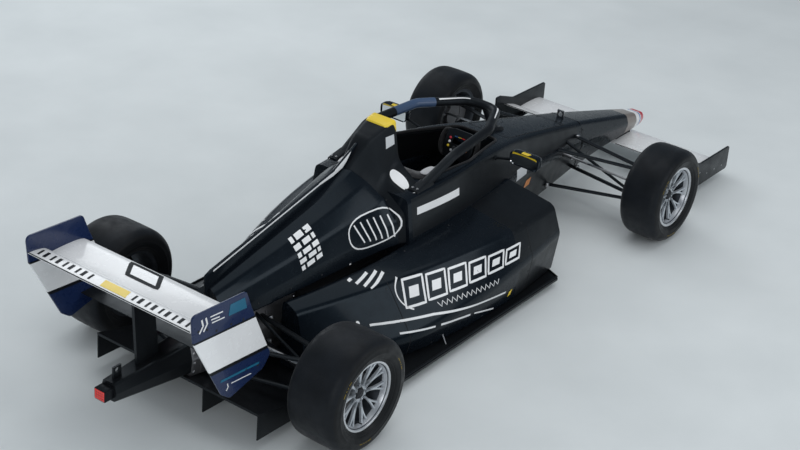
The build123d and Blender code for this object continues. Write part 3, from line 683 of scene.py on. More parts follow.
def makeRim(name, axleX, radius, width, outerY):
    lip = 0.06 * width + 0.006
    yOut, yIn = outerY - lip, outerY - width + lip
    centre = (axleX, 0, radius)
    # barrel bands: the outer lip is machined metal; a band just inside it and all of the barrel deeper than 36 mm are
    # darkened with painted shade, and the band of wall between them is a painted highlight
    barrel = lathe("barrel", barrelProfile(yOut, yIn), centre, ["rimPaintedShade", "rimLipAndPaintedHighlight"], 96, 24,
                   lambda c: int(c.y > yOut - 0.0064 or yOut - 0.036 < c.y < yOut - 0.0125))
    yFace = yOut - wheel["faceInset"]
    spokes = ringOf("spokes", joined("arms", [spokeBranch(yFace, 1), spokeBranch(yFace, -1)]), wheel["spokes"], 0.0,
                    centre, "rim", math.radians(9), 28)
    hubR, yHub = wheel["hubR"], yFace - wheel["dish"]
    front = [(0.0005, 0.020), (0.017, 0.020), (0.019, 0.006), (0.0205, 0.004), (0.026, 0.004), (0.030, 0.0105),
             (0.038, 0.0075), (hubR - 0.001, 0.0030), (hubR, 0.006), (hubR, 0.019), (hubR - 0.006, 0.028)]
    hub = lathe("hub", [(r, yHub - y) for r, y in front] + [(hubR - 0.006, yIn + 0.06), (0.021, yIn + 0.06),
                                                            (0.021, yHub - 0.045), (0.0005, yHub - 0.045)],
                centre, ["darkMetal", "rim"], 48, 28, lambda c: int(Vector((c.x - axleX, c.z - radius)).length > 0.033))
    nut = lathe("nut", [(0.0005, 0.010), (0.013, 0.010), (0.0155, 0.0085), (0.0165, 0.006), (0.022, 0.004),
                        (0.0255, 0.002), (0.0255, -0.012), (0.0005, -0.012)],
                (axleX, yHub - 0.004, radius), "darkMetal", 6, 20)
    pin = lathe("pin", [(0.0004, 0.0022), (0.0028, 0.0022), (0.0036, 0.0012), (0.0036, -0.006), (0.0004, -0.006)],
                (0, yHub - 0.0048, 0), "steel", 10)
    pins = ringOf("drivePins", pin, 5, 0.0345, centre, "steel")
    valve = moved(tubeAlong("valve", [(0.149, yOut - 0.0365, 0), (0.144, yOut - 0.020, 0), (0.143, yOut - 0.006, 0)],
                            [0.0032, 0.0030, 0.0036], "darkMetal", 10), centre, 99, "Y")
    yDisc, discR = yOut - wheel["discInset"], wheel["discR"]
    disc = lathe("disc", [(discR, 0.0005), (discR, 0.0055), (0.080, 0.0058), (0.080, 0.0122), (discR, 0.0125),
                          (discR, 0.0175), (discR - 0.0008, 0.018), (0.072, 0.018), (0.068, 0.020), (0.062, 0.030),
                          (0.040, 0.032), (0.040, 0.020), (0.030, 0), (discR - 0.0008, 0), (discR, 0.0005)],
                 (axleX, yDisc, radius), "disc", 72, 26)
    vane = boxMesh("vane", (0.079, yDisc + 0.005, -0.0011), (discR - 0.001, yDisc + 0.013, 0.0011), "disc", 0)
    bobbin = lathe("bobbin", [(0.0004, 0.0015), (0.003, 0.0015), (0.004, 0.0006), (0.004, -0.004), (0.0004, -0.004)],
                   (0, yDisc + 0.019, 0), "steel", 10)
    return joined("rim_" + name + "_left_dressed", [
        barrel, spokes, hub, nut, pins, valve, disc, ringOf("vanes", vane, 36, 0.0, centre, "disc"),
        ringOf("bobbins", bobbin, 12, 0.0705, centre, "steel")])


def makeTyre(name, axleX, radius, width, outerY):
    def wallTick(start, span):
        # short raised dash of colour moulded on the outer side wall
        (r0, r1), rings = wheel["tickR"], []
        for a in [math.radians(start + span * i / 4) for i in range(5)]:
            rings.append([(axleX + r * math.cos(a), outerY + y, radius + r * math.sin(a))
                          for r, y in ((r0, -0.0022), (r1, -0.0022), (r1, -0.0006), (r0, -0.0006))])
        return loft("wallTick", rings, "tickYellow", 30)
    carcass = lathe("tyre", tyreProfile(radius, width, outerY), (axleX, 0, radius), ["tyre", "sidewall"], 128, 50,
                    lambda c: int(Vector((c.x - axleX, c.z - radius)).length <= radius - 0.026))
    ticks = [(third + start, span) for third in wheel["ticksAt"] for start, span in wheel["ticks"]]
    return joined("tyre_" + name + "_left_dressed", [carcass] + [wallTick(*tick) for tick in ticks])


for name, corner in corners.items():
    dressed = (("rim_", "rim_silver", makeRim(name, *corner)), ("tyre_", "tyre_rubber", makeTyre(name, *corner)))
    for part, slot, left in dressed:
        right = mirroredCopy(left, part + name + "_right_dressed")
        keep(left, slot, part + name + "_left", body="wheel_" + name + "_left")
        keep(right, slot, part + name + "_right", body="wheel_" + name + "_right")
print("wheels made")


# survival cell and nose

cell = {
    # x, half width low / waist / top, z low / waist / top
    "sections": [(-0.560, 0.300, 0.335, 0.300, 0.056, 0.500, 0.735), (-0.150, 0.305, 0.338, 0.305, 0.056, 0.500, 0.738),
                 (0.330, 0.235, 0.292, 0.235, 0.060, 0.470, 0.690), (0.760, 0.150, 0.222, 0.165, 0.082, 0.420, 0.610),
                 (1.480, 0.098, 0.142, 0.108, 0.135, 0.330, 0.452)],
    "opening": [(-0.350, -0.245), (0.070, -0.245), (0.520, -0.130), (0.520, 0.130), (0.070, 0.245), (-0.350, 0.245)],
    "openingR": [0.10, 0.12, 0.06, 0.06, 0.12, 0.10], "openFloor": 0.560, "cornerR": 0.042, "wall": 0.024,
}
cellRows = smoothRows(cell["sections"], 8)


def cellRing(x, inset=0.0):
    _, low, waist, top, zLow, zWaist, zTop = rowAt(cellRows, x)
    r = max(cell["cornerR"] - inset, 0.012)
    half = [(low - inset, zLow + inset), (waist - inset, zWaist), (top - inset, zTop - inset)]
    pts = roundOutline(half + [(-y, z) for y, z in reversed(half)], [r, 0.12, r, r, 0.12, r], 5)
    return [(x, p[0], p[1]) for p in pts]


def cellSide(p):
    # 1 on the inside of the cell
    c, row = p.center, rowAt(cellRows, p.center.x)
    return int(abs(c.y) < row[2] - 0.014 and row[4] + 0.012 < c.z < row[6] - 0.012 and -0.53 < c.x < 1.45)


stations = [row[0] for row in cellRows]
shell = loft("monocoque_skin", [cellRing(x) for x in stations], "bodyBlack", 30)
hollow = [cell["sections"][0][0] + 0.048] + [x for x in stations if -0.50 < x < 1.43] + [1.432]
inside = loft("cellInside", [cellRing(x, cell["wall"]) for x in hollow], "carbon", 30)
outline = roundOutline(cell["opening"], cell["openingR"], 6)
opening = loft("cockpitCut", [[(p.x, p.y, z) for p in outline] for z in (cell["openFloor"], 0.80)], "carbon")
booleanCut(shell, inside, opening)
setMaterials(shell.data, ["bodyBlack", "carbon"], cellSide)
keep(shade(shell, 30), "black_paint", "monocoque")

# dash bulkhead and front tow eye
dash = [(-0.20, 0.470), (-0.128, 0.640), (0.128, 0.640), (0.20, 0.470)]
keep(bevelled(loft("dash_bulkhead", [[(x, y, z) for y, z in dash] for x in (0.521, 0.536)], "carbon"), 0.003), "carbon")
towEye = slabXZ("eye", [(1.415, 0.446), (1.425, 0.446), (1.425, 0.516), (1.415, 0.516)], -0.024, 0.024, "steel")
booleanCut(towEye, tubeAlong("bore", [(1.40, 0, 0.492), (1.44, 0, 0.492)], 0.013, "steel", 32))
keep(bevelled(towEye, 0.0025, 3, 50), "steel")

nose = {
    # share of the way to the tip, half width, z low, z top
    "sections": [(0.00, 0.142, 0.135, 0.452), (0.34, 0.116, 0.140, 0.368), (0.68, 0.092, 0.134, 0.284),
                 (0.955, 0.064, 0.122, 0.214), (1.00, 0.042, 0.138, 0.196)],
    # colour bands from the cell to the tip: where each starts, material index
    "bands": [(2.145, 1), (2.285, 2), (2.337, 3), (2.352, 2), (2.362, 4), (2.405, 2)],
    # x and size of the rings that close the tip, and the height they shrink to
    "tip": [(2.385, 1.0), (2.405, 0.94), (2.4056, 0.938), (2.4155, 0.80), (2.4215, 0.60), (2.4245, 0.34),
            (2.425, 0.12)],
    "tipZ": 0.167, "baseX": 1.480, "length": 0.945,
}
noseRows = smoothRows(nose["sections"], 8)


def noseRing(x):
    _, half, zLow, zTop = rowAt(noseRows, (x - nose["baseX"]) / nose["length"])
    pts = [(0.70 * half, zLow), (half, 0.4 * zLow + 0.6 * zTop), (0.76 * half, zTop)]
    r = min(0.034, half * 0.5)
    return [(x, p[0], p[1]) for p in roundOutline(pts + [(-y, z) for y, z in reversed(pts)],
                                                  [r, r * 1.6, r, r, r * 1.6, r], 5)]


def noseBand(c):
    return ([0] + [index for at, index in nose["bands"] if c.x > at])[-1]


xs = {nose["baseX"] + row[0] * nose["length"] for row in noseRows if row[0] < 0.96}
xs |= {at + gap for at, _ in nose["bands"] for gap in (0, 0.0006)}
rings = [noseRing(x) for x in sorted(xs) if x < 2.385]
for x, size in nose["tip"]:
    mid = Vector((x, 0, nose["tipZ"]))
    rings.append([mid + (Vector((x, y, z)) - mid) * size for _, y, z in noseRing(min(x, 2.3875))])
noseColours = ["bodyBlack", "stone", "white", "brightBlue", "red"]
keep(loft("nose_skin", rings, noseColours, 34, noseBand), "black_paint", "nose")
print("cell and nose made")


# side pods and their radiators

pods = {
    # x, inner, shoulder, outer half width, z of the outer edge, the shoulder and the inner top edge
    "sections": [(-1.360, 0.168, 0.262, 0.335, 0.130, 0.392, 0.440), (-0.900, 0.275, 0.415, 0.590, 0.170, 0.425, 0.478),
                 (-0.450, 0.305, 0.530, 0.668, 0.220, 0.452, 0.500), (0.000, 0.285, 0.600, 0.682, 0.270, 0.462, 0.508),
                 (0.430, 0.250, 0.590, 0.650, 0.300, 0.452, 0.505)],
    "radii": [0.010, 0.030, 0.085, 0.060, 0.034], "low": 0.054, "wall": 0.016, "ductEnd": 0.030,
    # rings round the inlet's lip: x, inset
    "lip": [(0.427, 0.0012), (0.4292, 0.0040), (0.4300, 0.0080), (0.4292, 0.0118), (0.4255, 0.0150)],
}
podRows = smoothRows(pods["sections"], 9)


def podRing(x, row, inset):
    _, inner, shoulder, outer, zOuter, zShoulder, zTop = row
    pts = [(inner + inset, pods["low"] + inset), (outer - 0.030 - inset, pods["low"] + inset), (outer - inset, zOuter),
           (shoulder - 0.7 * inset, zShoulder - inset), (inner + inset, zTop - inset)]
    return [(x, p[0], p[1]) for p in roundOutline(pts, [max(0.008, r - inset) for r in pods["radii"]], 6)]


def podMaterial(c):
    row = min(podRows, key=lambda r: abs(r[0] - c.x))
    return int(0.0 < c.x < 0.430 and row[1] + 0.010 < c.y < row[3] - 0.012
               and pods["low"] + 0.010 < c.z < row[6] - 0.012)


rings = [podRing(row[0], row, 0) for row in podRows] + [podRing(x, podRows[-1], inset) for x, inset in pods["lip"]]
rings += [podRing(row[0], row, pods["wall"]) for row in reversed(podRows) if pods["ductEnd"] < row[0] < 0.42]
podLeft = loft("sidepod_left_skin", rings, ["bodyBlack", "carbon"], 34, podMaterial)
podRight = mirroredCopy(podLeft, "sidepod_right_skin")
keep(podLeft, "black_paint", "sidepod_left")
keep(podRight, "black_paint", "sidepod_right")

radiator = {"x0": 0.046, "x1": 0.070, "y0": 0.306, "pitch": 0.0115, "tube": 0.0016, "fold": 0.0045, "low": 0.080,
            "margin": 0.012}


def ductReach(z):
    # how far out the duct is open at a height
    _, inner, shoulder, outer, zOuter, zShoulder, zTop = min(podRows, key=lambda r: abs(r[0] - radiator["x1"]))
    gap = pods["wall"] + radiator["margin"]
    corners = [(outer - 0.030, pods["low"]), (outer, zOuter), (shoulder, zShoulder), (inner, zTop)]
    for (y0, z0), (y1, z1) in zip(corners, corners[1:]):
        if z <= z1 - gap:
            return y0 + (y1 - y0) * max(0, z + gap - z0) / (z1 - z0) - gap
    return 0.0


def radiatorCore():
    # tubes lying across the duct with folded fins between them
    x0, x1, y0, tall, thick, fold = [radiator[k] for k in ("x0", "x1", "y0", "pitch", "tube", "fold")]
    parts = []
    z = radiator["low"]
    while min(ductReach(z), ductReach(z + tall)) >= y0 + 0.06:
        y1 = min(ductReach(z), ductReach(z + tall))
        parts.append(boxMesh("coreTube", (x0, y0, z - thick), (x1, y1, z + thick), "copper", 0))
        rings = []
        for k in range(int((y1 - y0) / fold)):
            y, zFin = y0 + fold * k, z + (tall - thick if k % 2 else thick)
            rings.append([(x0 + 0.003, y, zFin), (x0 + 0.015, y, zFin), (x0 + 0.015, y, zFin + 0.0004),
                          (x0 + 0.003, y, zFin + 0.0004)])
        parts.append(loft("foldedFin", rings, "copper", 20))
        z += tall
    return joined("radiator_left", parts, 20)


core = radiatorCore()
for o in (core, mirroredCopy(core, "radiator_right")):
    keep(o, "dark_metal")
print("side pods made")


# engine cover with airbox and fin

cover = {
    # x, then half width and z of foot, hem, waist, shoulder and crown
    "tail": [(-1.720, 0.100, 0.400, 0.096, 0.450, 0.078, 0.515, 0.050, 0.560, 0.022, 0.580),
             (-1.250, 0.180, 0.440, 0.172, 0.520, 0.140, 0.610, 0.086, 0.672, 0.034, 0.700),
             (-0.960, 0.222, 0.458, 0.214, 0.545, 0.176, 0.664, 0.112, 0.744, 0.046, 0.780),
             (-0.800, 0.262, 0.474, 0.250, 0.575, 0.192, 0.708, 0.122, 0.796, 0.050, 0.842),
             (-0.740, 0.286, 0.482, 0.268, 0.602, 0.190, 0.726, 0.118, 0.812, 0.050, 0.868),
             (-0.724, 0.292, 0.484, 0.273, 0.610, 0.182, 0.722, 0.108, 0.806, 0.044, 0.866)],
    "hoop": [(-0.724, 0.291, 0.484, 0.272, 0.608, 0.150, 0.700, 0.074, 0.790, 0.028, 0.862),
             (-0.680, 0.308, 0.488, 0.287, 0.640, 0.140, 0.722, 0.074, 0.830, 0.034, 0.905),
             (-0.600, 0.330, 0.494, 0.303, 0.690, 0.134, 0.768, 0.084, 0.895, 0.050, 0.985),
             (-0.560, 0.3352, 0.500, 0.3035, 0.708, 0.130, 0.786, 0.087, 0.914, 0.055, 1.005),
             (-0.500, 0.300, 0.600, 0.294, 0.690, 0.124, 0.805, 0.090, 0.938, 0.062, 1.026),
             (-0.424, 0.300, 0.632, 0.299, 0.705, 0.117, 0.834, 0.094, 0.957, 0.070, 1.0475),
             (-0.400, 0.298, 0.640, 0.298, 0.710, 0.113, 0.840, 0.091, 0.958, 0.068, 1.0475)],
    "joint": -0.724, "leanFrom": -1.05, "leanTo": -0.44,
    # x, radius and z of the intake
    "mouth": [(-0.380, 0.0600, 0.972), (-0.401, 0.0585, 0.972), (-0.412, 0.0530, 0.971), (-0.470, 0.0500, 0.960),
              (-0.560, 0.0440, 0.925), (-0.620, 0.0360, 0.893)],
    "fin": [(-0.600, 0.880), (-0.618, 0.973), (-0.630, 0.970), (-0.790, 0.882), (-1.700, 0.668), (-1.740, 0.650),
            (-1.740, 0.540), (-1.720, 0.500), (-1.250, 0.640), (-0.800, 0.760)],
    # x, half width, z low and z top of the coloured cap on the roll hoop
    "cap": [(-0.4765, 0.052, 0.990, 1.0330), (-0.472, 0.060, 0.986, 1.0400), (-0.455, 0.0665, 0.984, 1.0465),
            (-0.404, 0.0745, 0.986, 1.0499), (-0.396, 0.0735, 0.988, 1.0494), (-0.3925, 0.0710, 0.990, 1.0470)],
}


def jointLean(y):
    # the panel joint leans back towards the spine
    return 0.75 * max(0, min(abs(y), 0.20) - 0.03)


def coverRing(row):
    x, joint = row[0], cover["joint"]
    end = cover["leanFrom"] if x < joint else cover["leanTo"]
    share = max(0.0, (x - end) / (joint - end))
    half = [(row[i], row[i + 1]) for i in (1, 3, 5, 7, 9)]
    radii = [0.010, 0.070, 0.110, 0.080, 0.026]
    pts = roundOutline(half + [(-y, z) for y, z in reversed(half)], radii + radii[::-1], 6)
    return [(x + share * jointLean(p[0]), p[0], p[1]) for p in pts]


def coverMaterial(p):
    # 2 in the intake, 1 on the roll hoop, 0 behind the joint
    c = p.center
    if c.x > -0.63 and Vector((c.y, c.z - 0.95)).length < 0.066 and abs(p.normal.x) < 0.95 and c.z > 0.85 \
            and c.y * p.normal.y + (c.z - 0.96) * p.normal.z < 0:
        return 2
    return int(c.x > cover["joint"] + 0.002 + jointLean(c.y))


tail = [coverRing(row) for row in smoothRows(cover["tail"], 8)]
lip = [(x + 0.004, y * 0.985, 0.60 + (z - 0.60) * 0.985) for x, y, z in tail[-1]]
hoop = [coverRing(row) for row in smoothRows(cover["hoop"], 7)]
skin = loft("engine_cover_skin", tail + [lip] + hoop, "bodyBlack", 34)
mouth = [[(x, r * 0.98 * c * (1 + 0.06 * (2 * c * c - 1)), z + r * 1.12 * s) for c, s in circle(40)]
         for x, r, z in cover["mouth"]]
booleanCut(skin, loft("intakeCut", mouth, "carbon"))
setMaterials(skin.data, ["bodyBlack", "hoopBlack", "carbon"], coverMaterial)
keep(shade(skin, 34), "black_paint", "engine_cover")
keep(bevelled(slabXZ("cover_fin", cover["fin"], -0.0075, 0.0075, "bodyBlack"), 0.005), "black_paint")


def capSection(w, lo, hi):
    # an arch over the hoop: outside first, then back along the inside, clear of the mouth
    outside = [(-w - 0.008, lo), (-w, hi), (w, hi), (w + 0.008, lo)]
    inside = [(w - 0.006, lo), (w - 0.022, hi - 0.0075), (0.022 - w, hi - 0.0075), (0.006 - w, lo)]
    return roundOutline(outside + inside, [0.003, 0.018, 0.018, 0.003, 0.003, 0.012, 0.012, 0.003], 5)


keep(sectionLoft("hoop_cap", cover["cap"], capSection, "yellow", 34), "white_paint")
keep(boxMesh("hoop_cap_lens", (-0.3940, -0.013, 1.0405), (-0.3910, 0.013, 1.0458), "screen", 0.0010), "dark_metal")
print("engine cover made")


# wings

foilTop = [(0, 0), (-0.02, 0.32), (-0.10, 0.60), (-0.30, 0.72), (-0.68, 0.45), (-1.0, 0.07)]
foilLow = [(-1.0, -0.07), (-0.60, -0.22), (-0.20, -0.36), (-0.04, -0.24), (0, 0)]
wings = {
    # leading edge x and z, chord, thickness, angle, span from and to, material, height of the lip behind
    "rear_wing_main": (-2.011, 0.752, 0.255, 0.032, 6, -0.4995, 0.4995, "white", 0),
    "rear_wing_flap": (-2.259, 0.800, 0.122, 0.018, 14, -0.4995, 0.4995, "white", 0.008),
    "beam_wing": (-1.905, 0.462, 0.150, 0.024, 10, -0.4995, 0.4995, "carbon", 0),
    "front_wing_main": (2.345, 0.088, 0.300, 0.028, 4, -0.6875, 0.6875, "white", 0),
    "front_wing_flap": (2.039, 0.126, 0.165, 0.018, 22, 0.150, 0.6875, "white", 0.006),
}


def makeFoil(name):
    x, z, chord, thick, angle, y0, y1, material, lipTall = wings[name]
    c, s = math.cos(math.radians(angle)), math.sin(math.radians(angle))
    section = [(x + px * chord * c + pz * thick * s, z - px * chord * s + pz * thick * c)
               for px, pz in smoothRows(foilTop, 7) + smoothRows(foilLow, 7)[:-1]]
    rings = [[(px, y0 + (y1 - y0) * i / 12, pz) for px, pz in section] for i in range(13)]
    foil = loft(name + "_skin", rings, material, 38)
    if not lipTall:
        return foil, None
    lip = boxMesh(name + "_lip", (-0.0005, y0 + 0.002, -0.003), (0.0014, y1 - 0.002, lipTall), "carbon", 0.0004, 1)
    return foil, moved(lip, (x - chord * c + 0.001, 0, z + chord * s), -angle, "Y")


for name in wings:
    foil, lip = makeFoil(name)
    bases[name] = surfaceOf(foil)
    if name == "front_wing_flap":
        foil = joined(name + "_skin", [foil, mirroredCopy(foil, "flapRight")])
        lip = joined(name + "_lips", [lip, mirroredCopy(lip, "lipRight")])
    keep(foil, "carbon" if wings[name][7] == "carbon" else "white_paint", name)
    if lip:
        keep(lip, "carbon")


def bandedPlate(outline, radii, y0, y1, lines, materials, bevel):
    # flat plate along the car with straight colour bands across it
    pts = roundOutline(outline, radii, 6)
    bm = bmesh.new()
    face = bm.faces.new([bm.verts.new((p.x, y0, p.y)) for p in pts])
    for v in bmesh.ops.extrude_face_region(bm, geom=[face])["geom"]:
        if isinstance(v, bmesh.types.BMVert):
            v.co.y = y1
    bmesh.ops.recalc_face_normals(bm, faces=bm.faces[:])
    edges = [e for e in bm.edges if e.is_manifold and e.calc_face_angle(0) > 0.6]
    bmesh.ops.bevel(bm, geom=edges, offset=bevel, segments=3, profile=0.5, affect="EDGES")
    for (ax, az), (bx, bz) in lines:
        bmesh.ops.bisect_plane(bm, geom=bm.verts[:] + bm.edges[:] + bm.faces[:], plane_co=(ax, 0, az),
                               plane_no=Vector((az - bz, 0, bx - ax)).normalized())
    me = bpy.data.meshes.new("plate")
    bm.to_mesh(me)
    bm.free()

    def band(p):
        x, _, z = p.center
        return sum((bx - ax) * (z - az) - (bz - az) * (x - ax) > 0 for (ax, az), (bx, bz) in lines)
    setMaterials(me, materials, band)
    return shade(addObject("plate", me), 34)


rearPlate = {
    "outline": [(-2.383, 0.914), (-2.033, 0.896), (-1.993, 0.796), (-1.853, 0.500), (-1.897, 0.442), (-2.121, 0.384),
                (-2.177, 0.424), (-2.369, 0.773)],
    "radii": [0.030, 0.028, 0.050, 0.030, 0.040, 0.030, 0.040, 0.030], "y0": 0.500, "y1": 0.512, "bevel": 0.0025,
    # colour bands, from the foot up; each line runs from the back to the front
    "lines": [((-2.40, 0.568), (-1.80, 0.530)), ((-2.40, 0.586), (-1.80, 0.548)), ((-2.40, 0.768), (-1.90, 0.734)),
              ((-2.40, 0.778), (-1.90, 0.744))],
    "materials": ["navy", "hoopBlack", "white", "hoopBlack", "navy"],
}
frontPlate = {
    "outline": [(1.785, 0.054), (2.365, 0.046), (2.380, 0.060), (2.378, 0.190), (2.365, 0.200), (1.995, 0.206),
                (1.835, 0.262), (1.785, 0.262)],
    "radii": [0.012, 0.010, 0.010, 0.012, 0.012, 0.060, 0.030, 0.012], "y0": 0.688, "y1": 0.6995, "bevel": 0.0022,
    "lines": [], "materials": ["carbon"],
}


def keepPair(name, left, slot, *replaced):
    # a left piece and its mirror image as one
    return keep(joined(name, [left, mirroredCopy(left, "twin")]), slot, *replaced)


bases["plates"] = surfaceOf(keepPair("rear_wing_endplates_skin", bandedPlate(**rearPlate), "plate_paint",
                                     "rear_wing_endplates"))
keepPair("front_wing_endplates_skin", bandedPlate(**frontPlate), "carbon", "front_wing_endplates")
skid = boxMesh("skid", (1.80, 0.664, 0.047), (2.36, 0.6985, 0.0525), "carbon", 0.0015)
keepPair("front_endplate_skids", skid, "carbon")

# screws that hold the planes between their endplates
rearScrews = [(-2.050, 0.762), (-2.130, 0.772), (-2.225, 0.781), (-2.285, 0.812), (-2.340, 0.826), (-1.940, 0.474),
              (-2.020, 0.487)]
frontScrews = [(2.300, 0.090), (2.200, 0.098), (2.100, 0.104), (2.000, 0.140), (1.930, 0.168)]
studsAt("rear_endplate_screws", screwHead(0.0062, 0.0018), bothSpots([(x, 0.512, z) for x, z in rearScrews], (0, 1, 0)),
        "darkMetal")
studsAt("front_endplate_screws", screwHead(0.0052, 0.0004),
        bothSpots([(x, 0.6992, z) for x, z in frontScrews], (0, 1, 0)))
print("wings made")


# halo

halo = {
    # left half from the rear foot to the front, and the radius of its bends
    "path": [(-0.385, 0.265, 0.735), (-0.150, 0.285, 0.842), (0.230, 0.245, 0.850), (0.540, 0.090, 0.822)],
    "radius": 0.0268, "squash": 0.96, "bendR": 0.16,
    # top and foot of the pillar in front: x, z, chord
    "strut": [(0.538, 0.830, 0.040), (0.700, 0.598, 0.082)], "strutHalf": 0.0138,
    # x, z low and z top of a rear foot; x, half width, z low and z top of the front one
    "foot": [(-0.470, 0.728, 0.744), (-0.440, 0.728, 0.752), (-0.370, 0.726, 0.766), (-0.335, 0.724, 0.760),
             (-0.320, 0.724, 0.744)],
    "frontFoot": [(0.640, 0.022, 0.622, 0.636), (0.660, 0.030, 0.616, 0.650), (0.735, 0.030, 0.604, 0.634),
                  (0.762, 0.020, 0.600, 0.612)],
}
haloLine = halo["path"] + [(x, -y, z) for x, y, z in reversed(halo["path"])]
haloPath = evenPath(roundPath(haloLine, halo["bendR"]), 0.02)
strut = []
for t in [i / 10 for i in range(11)]:
    # lens-shaped section standing across the pillar
    x, z, chord = [a + (b - a) * t for a, b in zip(*halo["strut"])]
    strut.append([(x + chord / 2 * c, halo["strutHalf"] * s * (1 - 0.25 * c), z) for c, s in circle(24)])
foot = sectionLoft("halo_foot", halo["foot"], lambda lo, hi: roundOutline(
    [(0.230, lo), (0.298, lo), (0.290, hi), (0.240, hi)], 0.010, 4), "hoopBlack", 34)
frontFoot = sectionLoft("halo_front_foot", halo["frontFoot"], lambda w, lo, hi: roundOutline(
    [(-w, lo), (w, lo), (w * 0.7, hi), (-w * 0.7, hi)], 0.006, 4), "hoopBlack", 34)
keep(joined("halo_skin", [
    tubeAlong("halo_hoop", haloPath, halo["radius"], "hoopBlack", 28, squash=halo["squash"]),
    loft("halo_strut", strut, "hoopBlack", 40), frontFoot, foot, mirroredCopy(foot, "halo_foot_right")]),
    "black_paint", "halo")
studsAt("halo_bolts", hexNut(0.0075, 0.004), bothSpots(
    [(-0.452, 0.252, 0.7495), (-0.452, 0.280, 0.7490), (-0.345, 0.252, 0.7620), (-0.345, 0.280, 0.7615)], (0.1, 0, 1)))


def haloSpan(*ends):
    # first and last point of the path between two places seen from above
    near = [min(range(len(haloPath)), key=lambda i: (haloPath[i].xy - Vector(end)).length) for end in ends]
    return min(near), max(near)


# coloured films on the tube: round the left arm, and lengthwise at the two front corners
a, b = haloSpan((0.06, 0.26), (0.33, 0.20))
keep(tubeAlong("halo_blue_band", haloPath[a:b + 1], halo["radius"] + 0.0006, "haloBlue", 28, squash=halo["squash"]),
     "white_paint")
for tag, ends, turn in (("left", ((0.36, 0.19), (0.53, 0.08)), 62), ("right", ((0.36, -0.19), (0.50, -0.11)), 118)):
    a, b = haloSpan(*ends)
    rings = []
    for i, t in list(enumerate(tangents(haloPath)))[a:b + 1]:
        side = t.cross(Vector((0, 0, 1))).normalized()
        angles = [math.radians(turn + 11 * k * (1 - 0.5 * (i - a) / (b - a))) for k in (-1, 0, 1)]
        outs = [side * math.cos(g) + side.cross(t) * halo["squash"] * math.sin(g) for g in angles]
        rings.append([haloPath[i] + out * (halo["radius"] + 0.0002) for out in outs]
                     + [haloPath[i] + out * (halo["radius"] + 0.0010) for out in outs[::-1]])
    keep(loft("halo_stripe_" + tag, rings, "decalWhite", 50), "white_paint")
print("halo made")


# mirrors

mirror = {
    "x": (0.300, 0.376), "y": (0.350, 0.535), "z": (0.668, 0.745),
    # rings of the housing from the glass forwards: x from the back edge, size
    "rings": [(0.006, 0.88), (0.006, 0.90), (0, 0.94), (0, 0.985), (0.004, 1.0), (0.030, 0.99), (0.052, 0.90),
              (0.066, 0.72), (0.0735, 0.45), (0.076, 0.16)],
    "stalk": [(0.336, 0.398, 0.688), (0.334, 0.330, 0.672), (0.330, 0.232, 0.648)],
    "boss": [(0.0005, 0.012), (0.009, 0.012), (0.013, 0.006), (0.015, -0.004), (0.0005, -0.004)],
    "bossAt": (0.330, 0.244, 0.651),
}


def mirrorParts():
    (x0, _), (y0, y1), (z0, z1) = mirror["x"], mirror["y"], mirror["z"]
    cy, cz, hy, hz = (y0 + y1) / 2, (z0 + z1) / 2, (y1 - y0) / 2, (z1 - z0) / 2
    rings = []
    for dx, s in mirror["rings"]:
        corners = [(cy + hy * s * a, cz + hz * s * b) for a, b in ((-1, -1), (1, -1), (1, 1), (-1, 1))]
        rings.append([(x0 + dx, p[0], p[1]) for p in roundOutline(corners, hz * s * 0.75, 7)])
    body = loft("mirrorBody", rings, ["bodyBlack", "mirror"], 36, lambda c: int(
        c.x < x0 + 0.0065 and abs(c.y - cy) < hy * 0.885 and abs(c.z - cz) < hz * 0.885))
    profile = [(0.004, 0.0), (0.030, 0.0), (0.044, 0.004), (0.044, 0.012), (0.004, 0.012)]
    arch = [(y0 + 0.016, -0.0016), (y0 + 0.026, 0.0030), (cy - 0.02, 0.0061), (cy + 0.02, 0.0061),
            (y1 - 0.026, 0.0030), (y1 - 0.016, -0.0016)]
    stripe = loft("mirrorStripe", [[(x0 + dx, y, z1 - 0.006 - dz + lift) for dx, dz in profile] for y, lift in arch],
                  "yellow", 30)
    stalk = tubeAlong("mirrorStalk", evenPath(roundPath(mirror["stalk"], 0.05), 0.012), 0.0088, "hoopBlack", 14,
                      squash=0.9)
    boss = moved(lathe("stalkBoss", mirror["boss"], (0, 0, 0), "hoopBlack", 20), mirror["bossAt"], 12)
    return joined("mirror", [body, stalk, boss]), stripe


housing, stripe = mirrorParts()
keepPair("mirrors_skin", housing, "black_paint", "mirrors")
keepPair("mirror_stripes", stripe, "white_paint")
print("mirrors made")


# cockpit

swell = {"voxel": 0.005, "pressure": 4.0, "quality": 4, "frames": 20, "smooth": 3}


def swollen(obj, material, travel):
    # pressure inside a cloth skin, its travel capped, then applied
    addModifier(obj, "REMESH", mode="VOXEL", voxel_size=swell["voxel"])
    applyModifiers(obj)
    start = [v.co.copy() for v in obj.data.vertices]
    settings = addModifier(obj, "CLOTH").settings
    settings.use_pressure = True
    settings.uniform_pressure_force = swell["pressure"]
    settings.effector_weights.gravity = 0
    settings.quality = swell["quality"]
    for f in range(1, swell["frames"] + 1):
        bpy.context.scene.frame_set(f)
    applyModifiers(obj)
    bpy.context.scene.frame_set(1)
    for v, s in zip(obj.data.vertices, start):
        d = v.co - s
        if d.length > travel:
            v.co = s + d * (travel / d.length)
    setMaterials(obj.data, [material])
    addModifier(obj, "SMOOTH", factor=0.5, iterations=swell["smooth"])
    return softened(obj)


def cushion(name, rings, material, travel, fill, *replaced):
    # closed pad from rings, swollen by a cloth pass
    obj = loft(name, rings, material, 60)
    obj = swollen(obj, material, travel)
    keep(obj, "padding", *replaced)


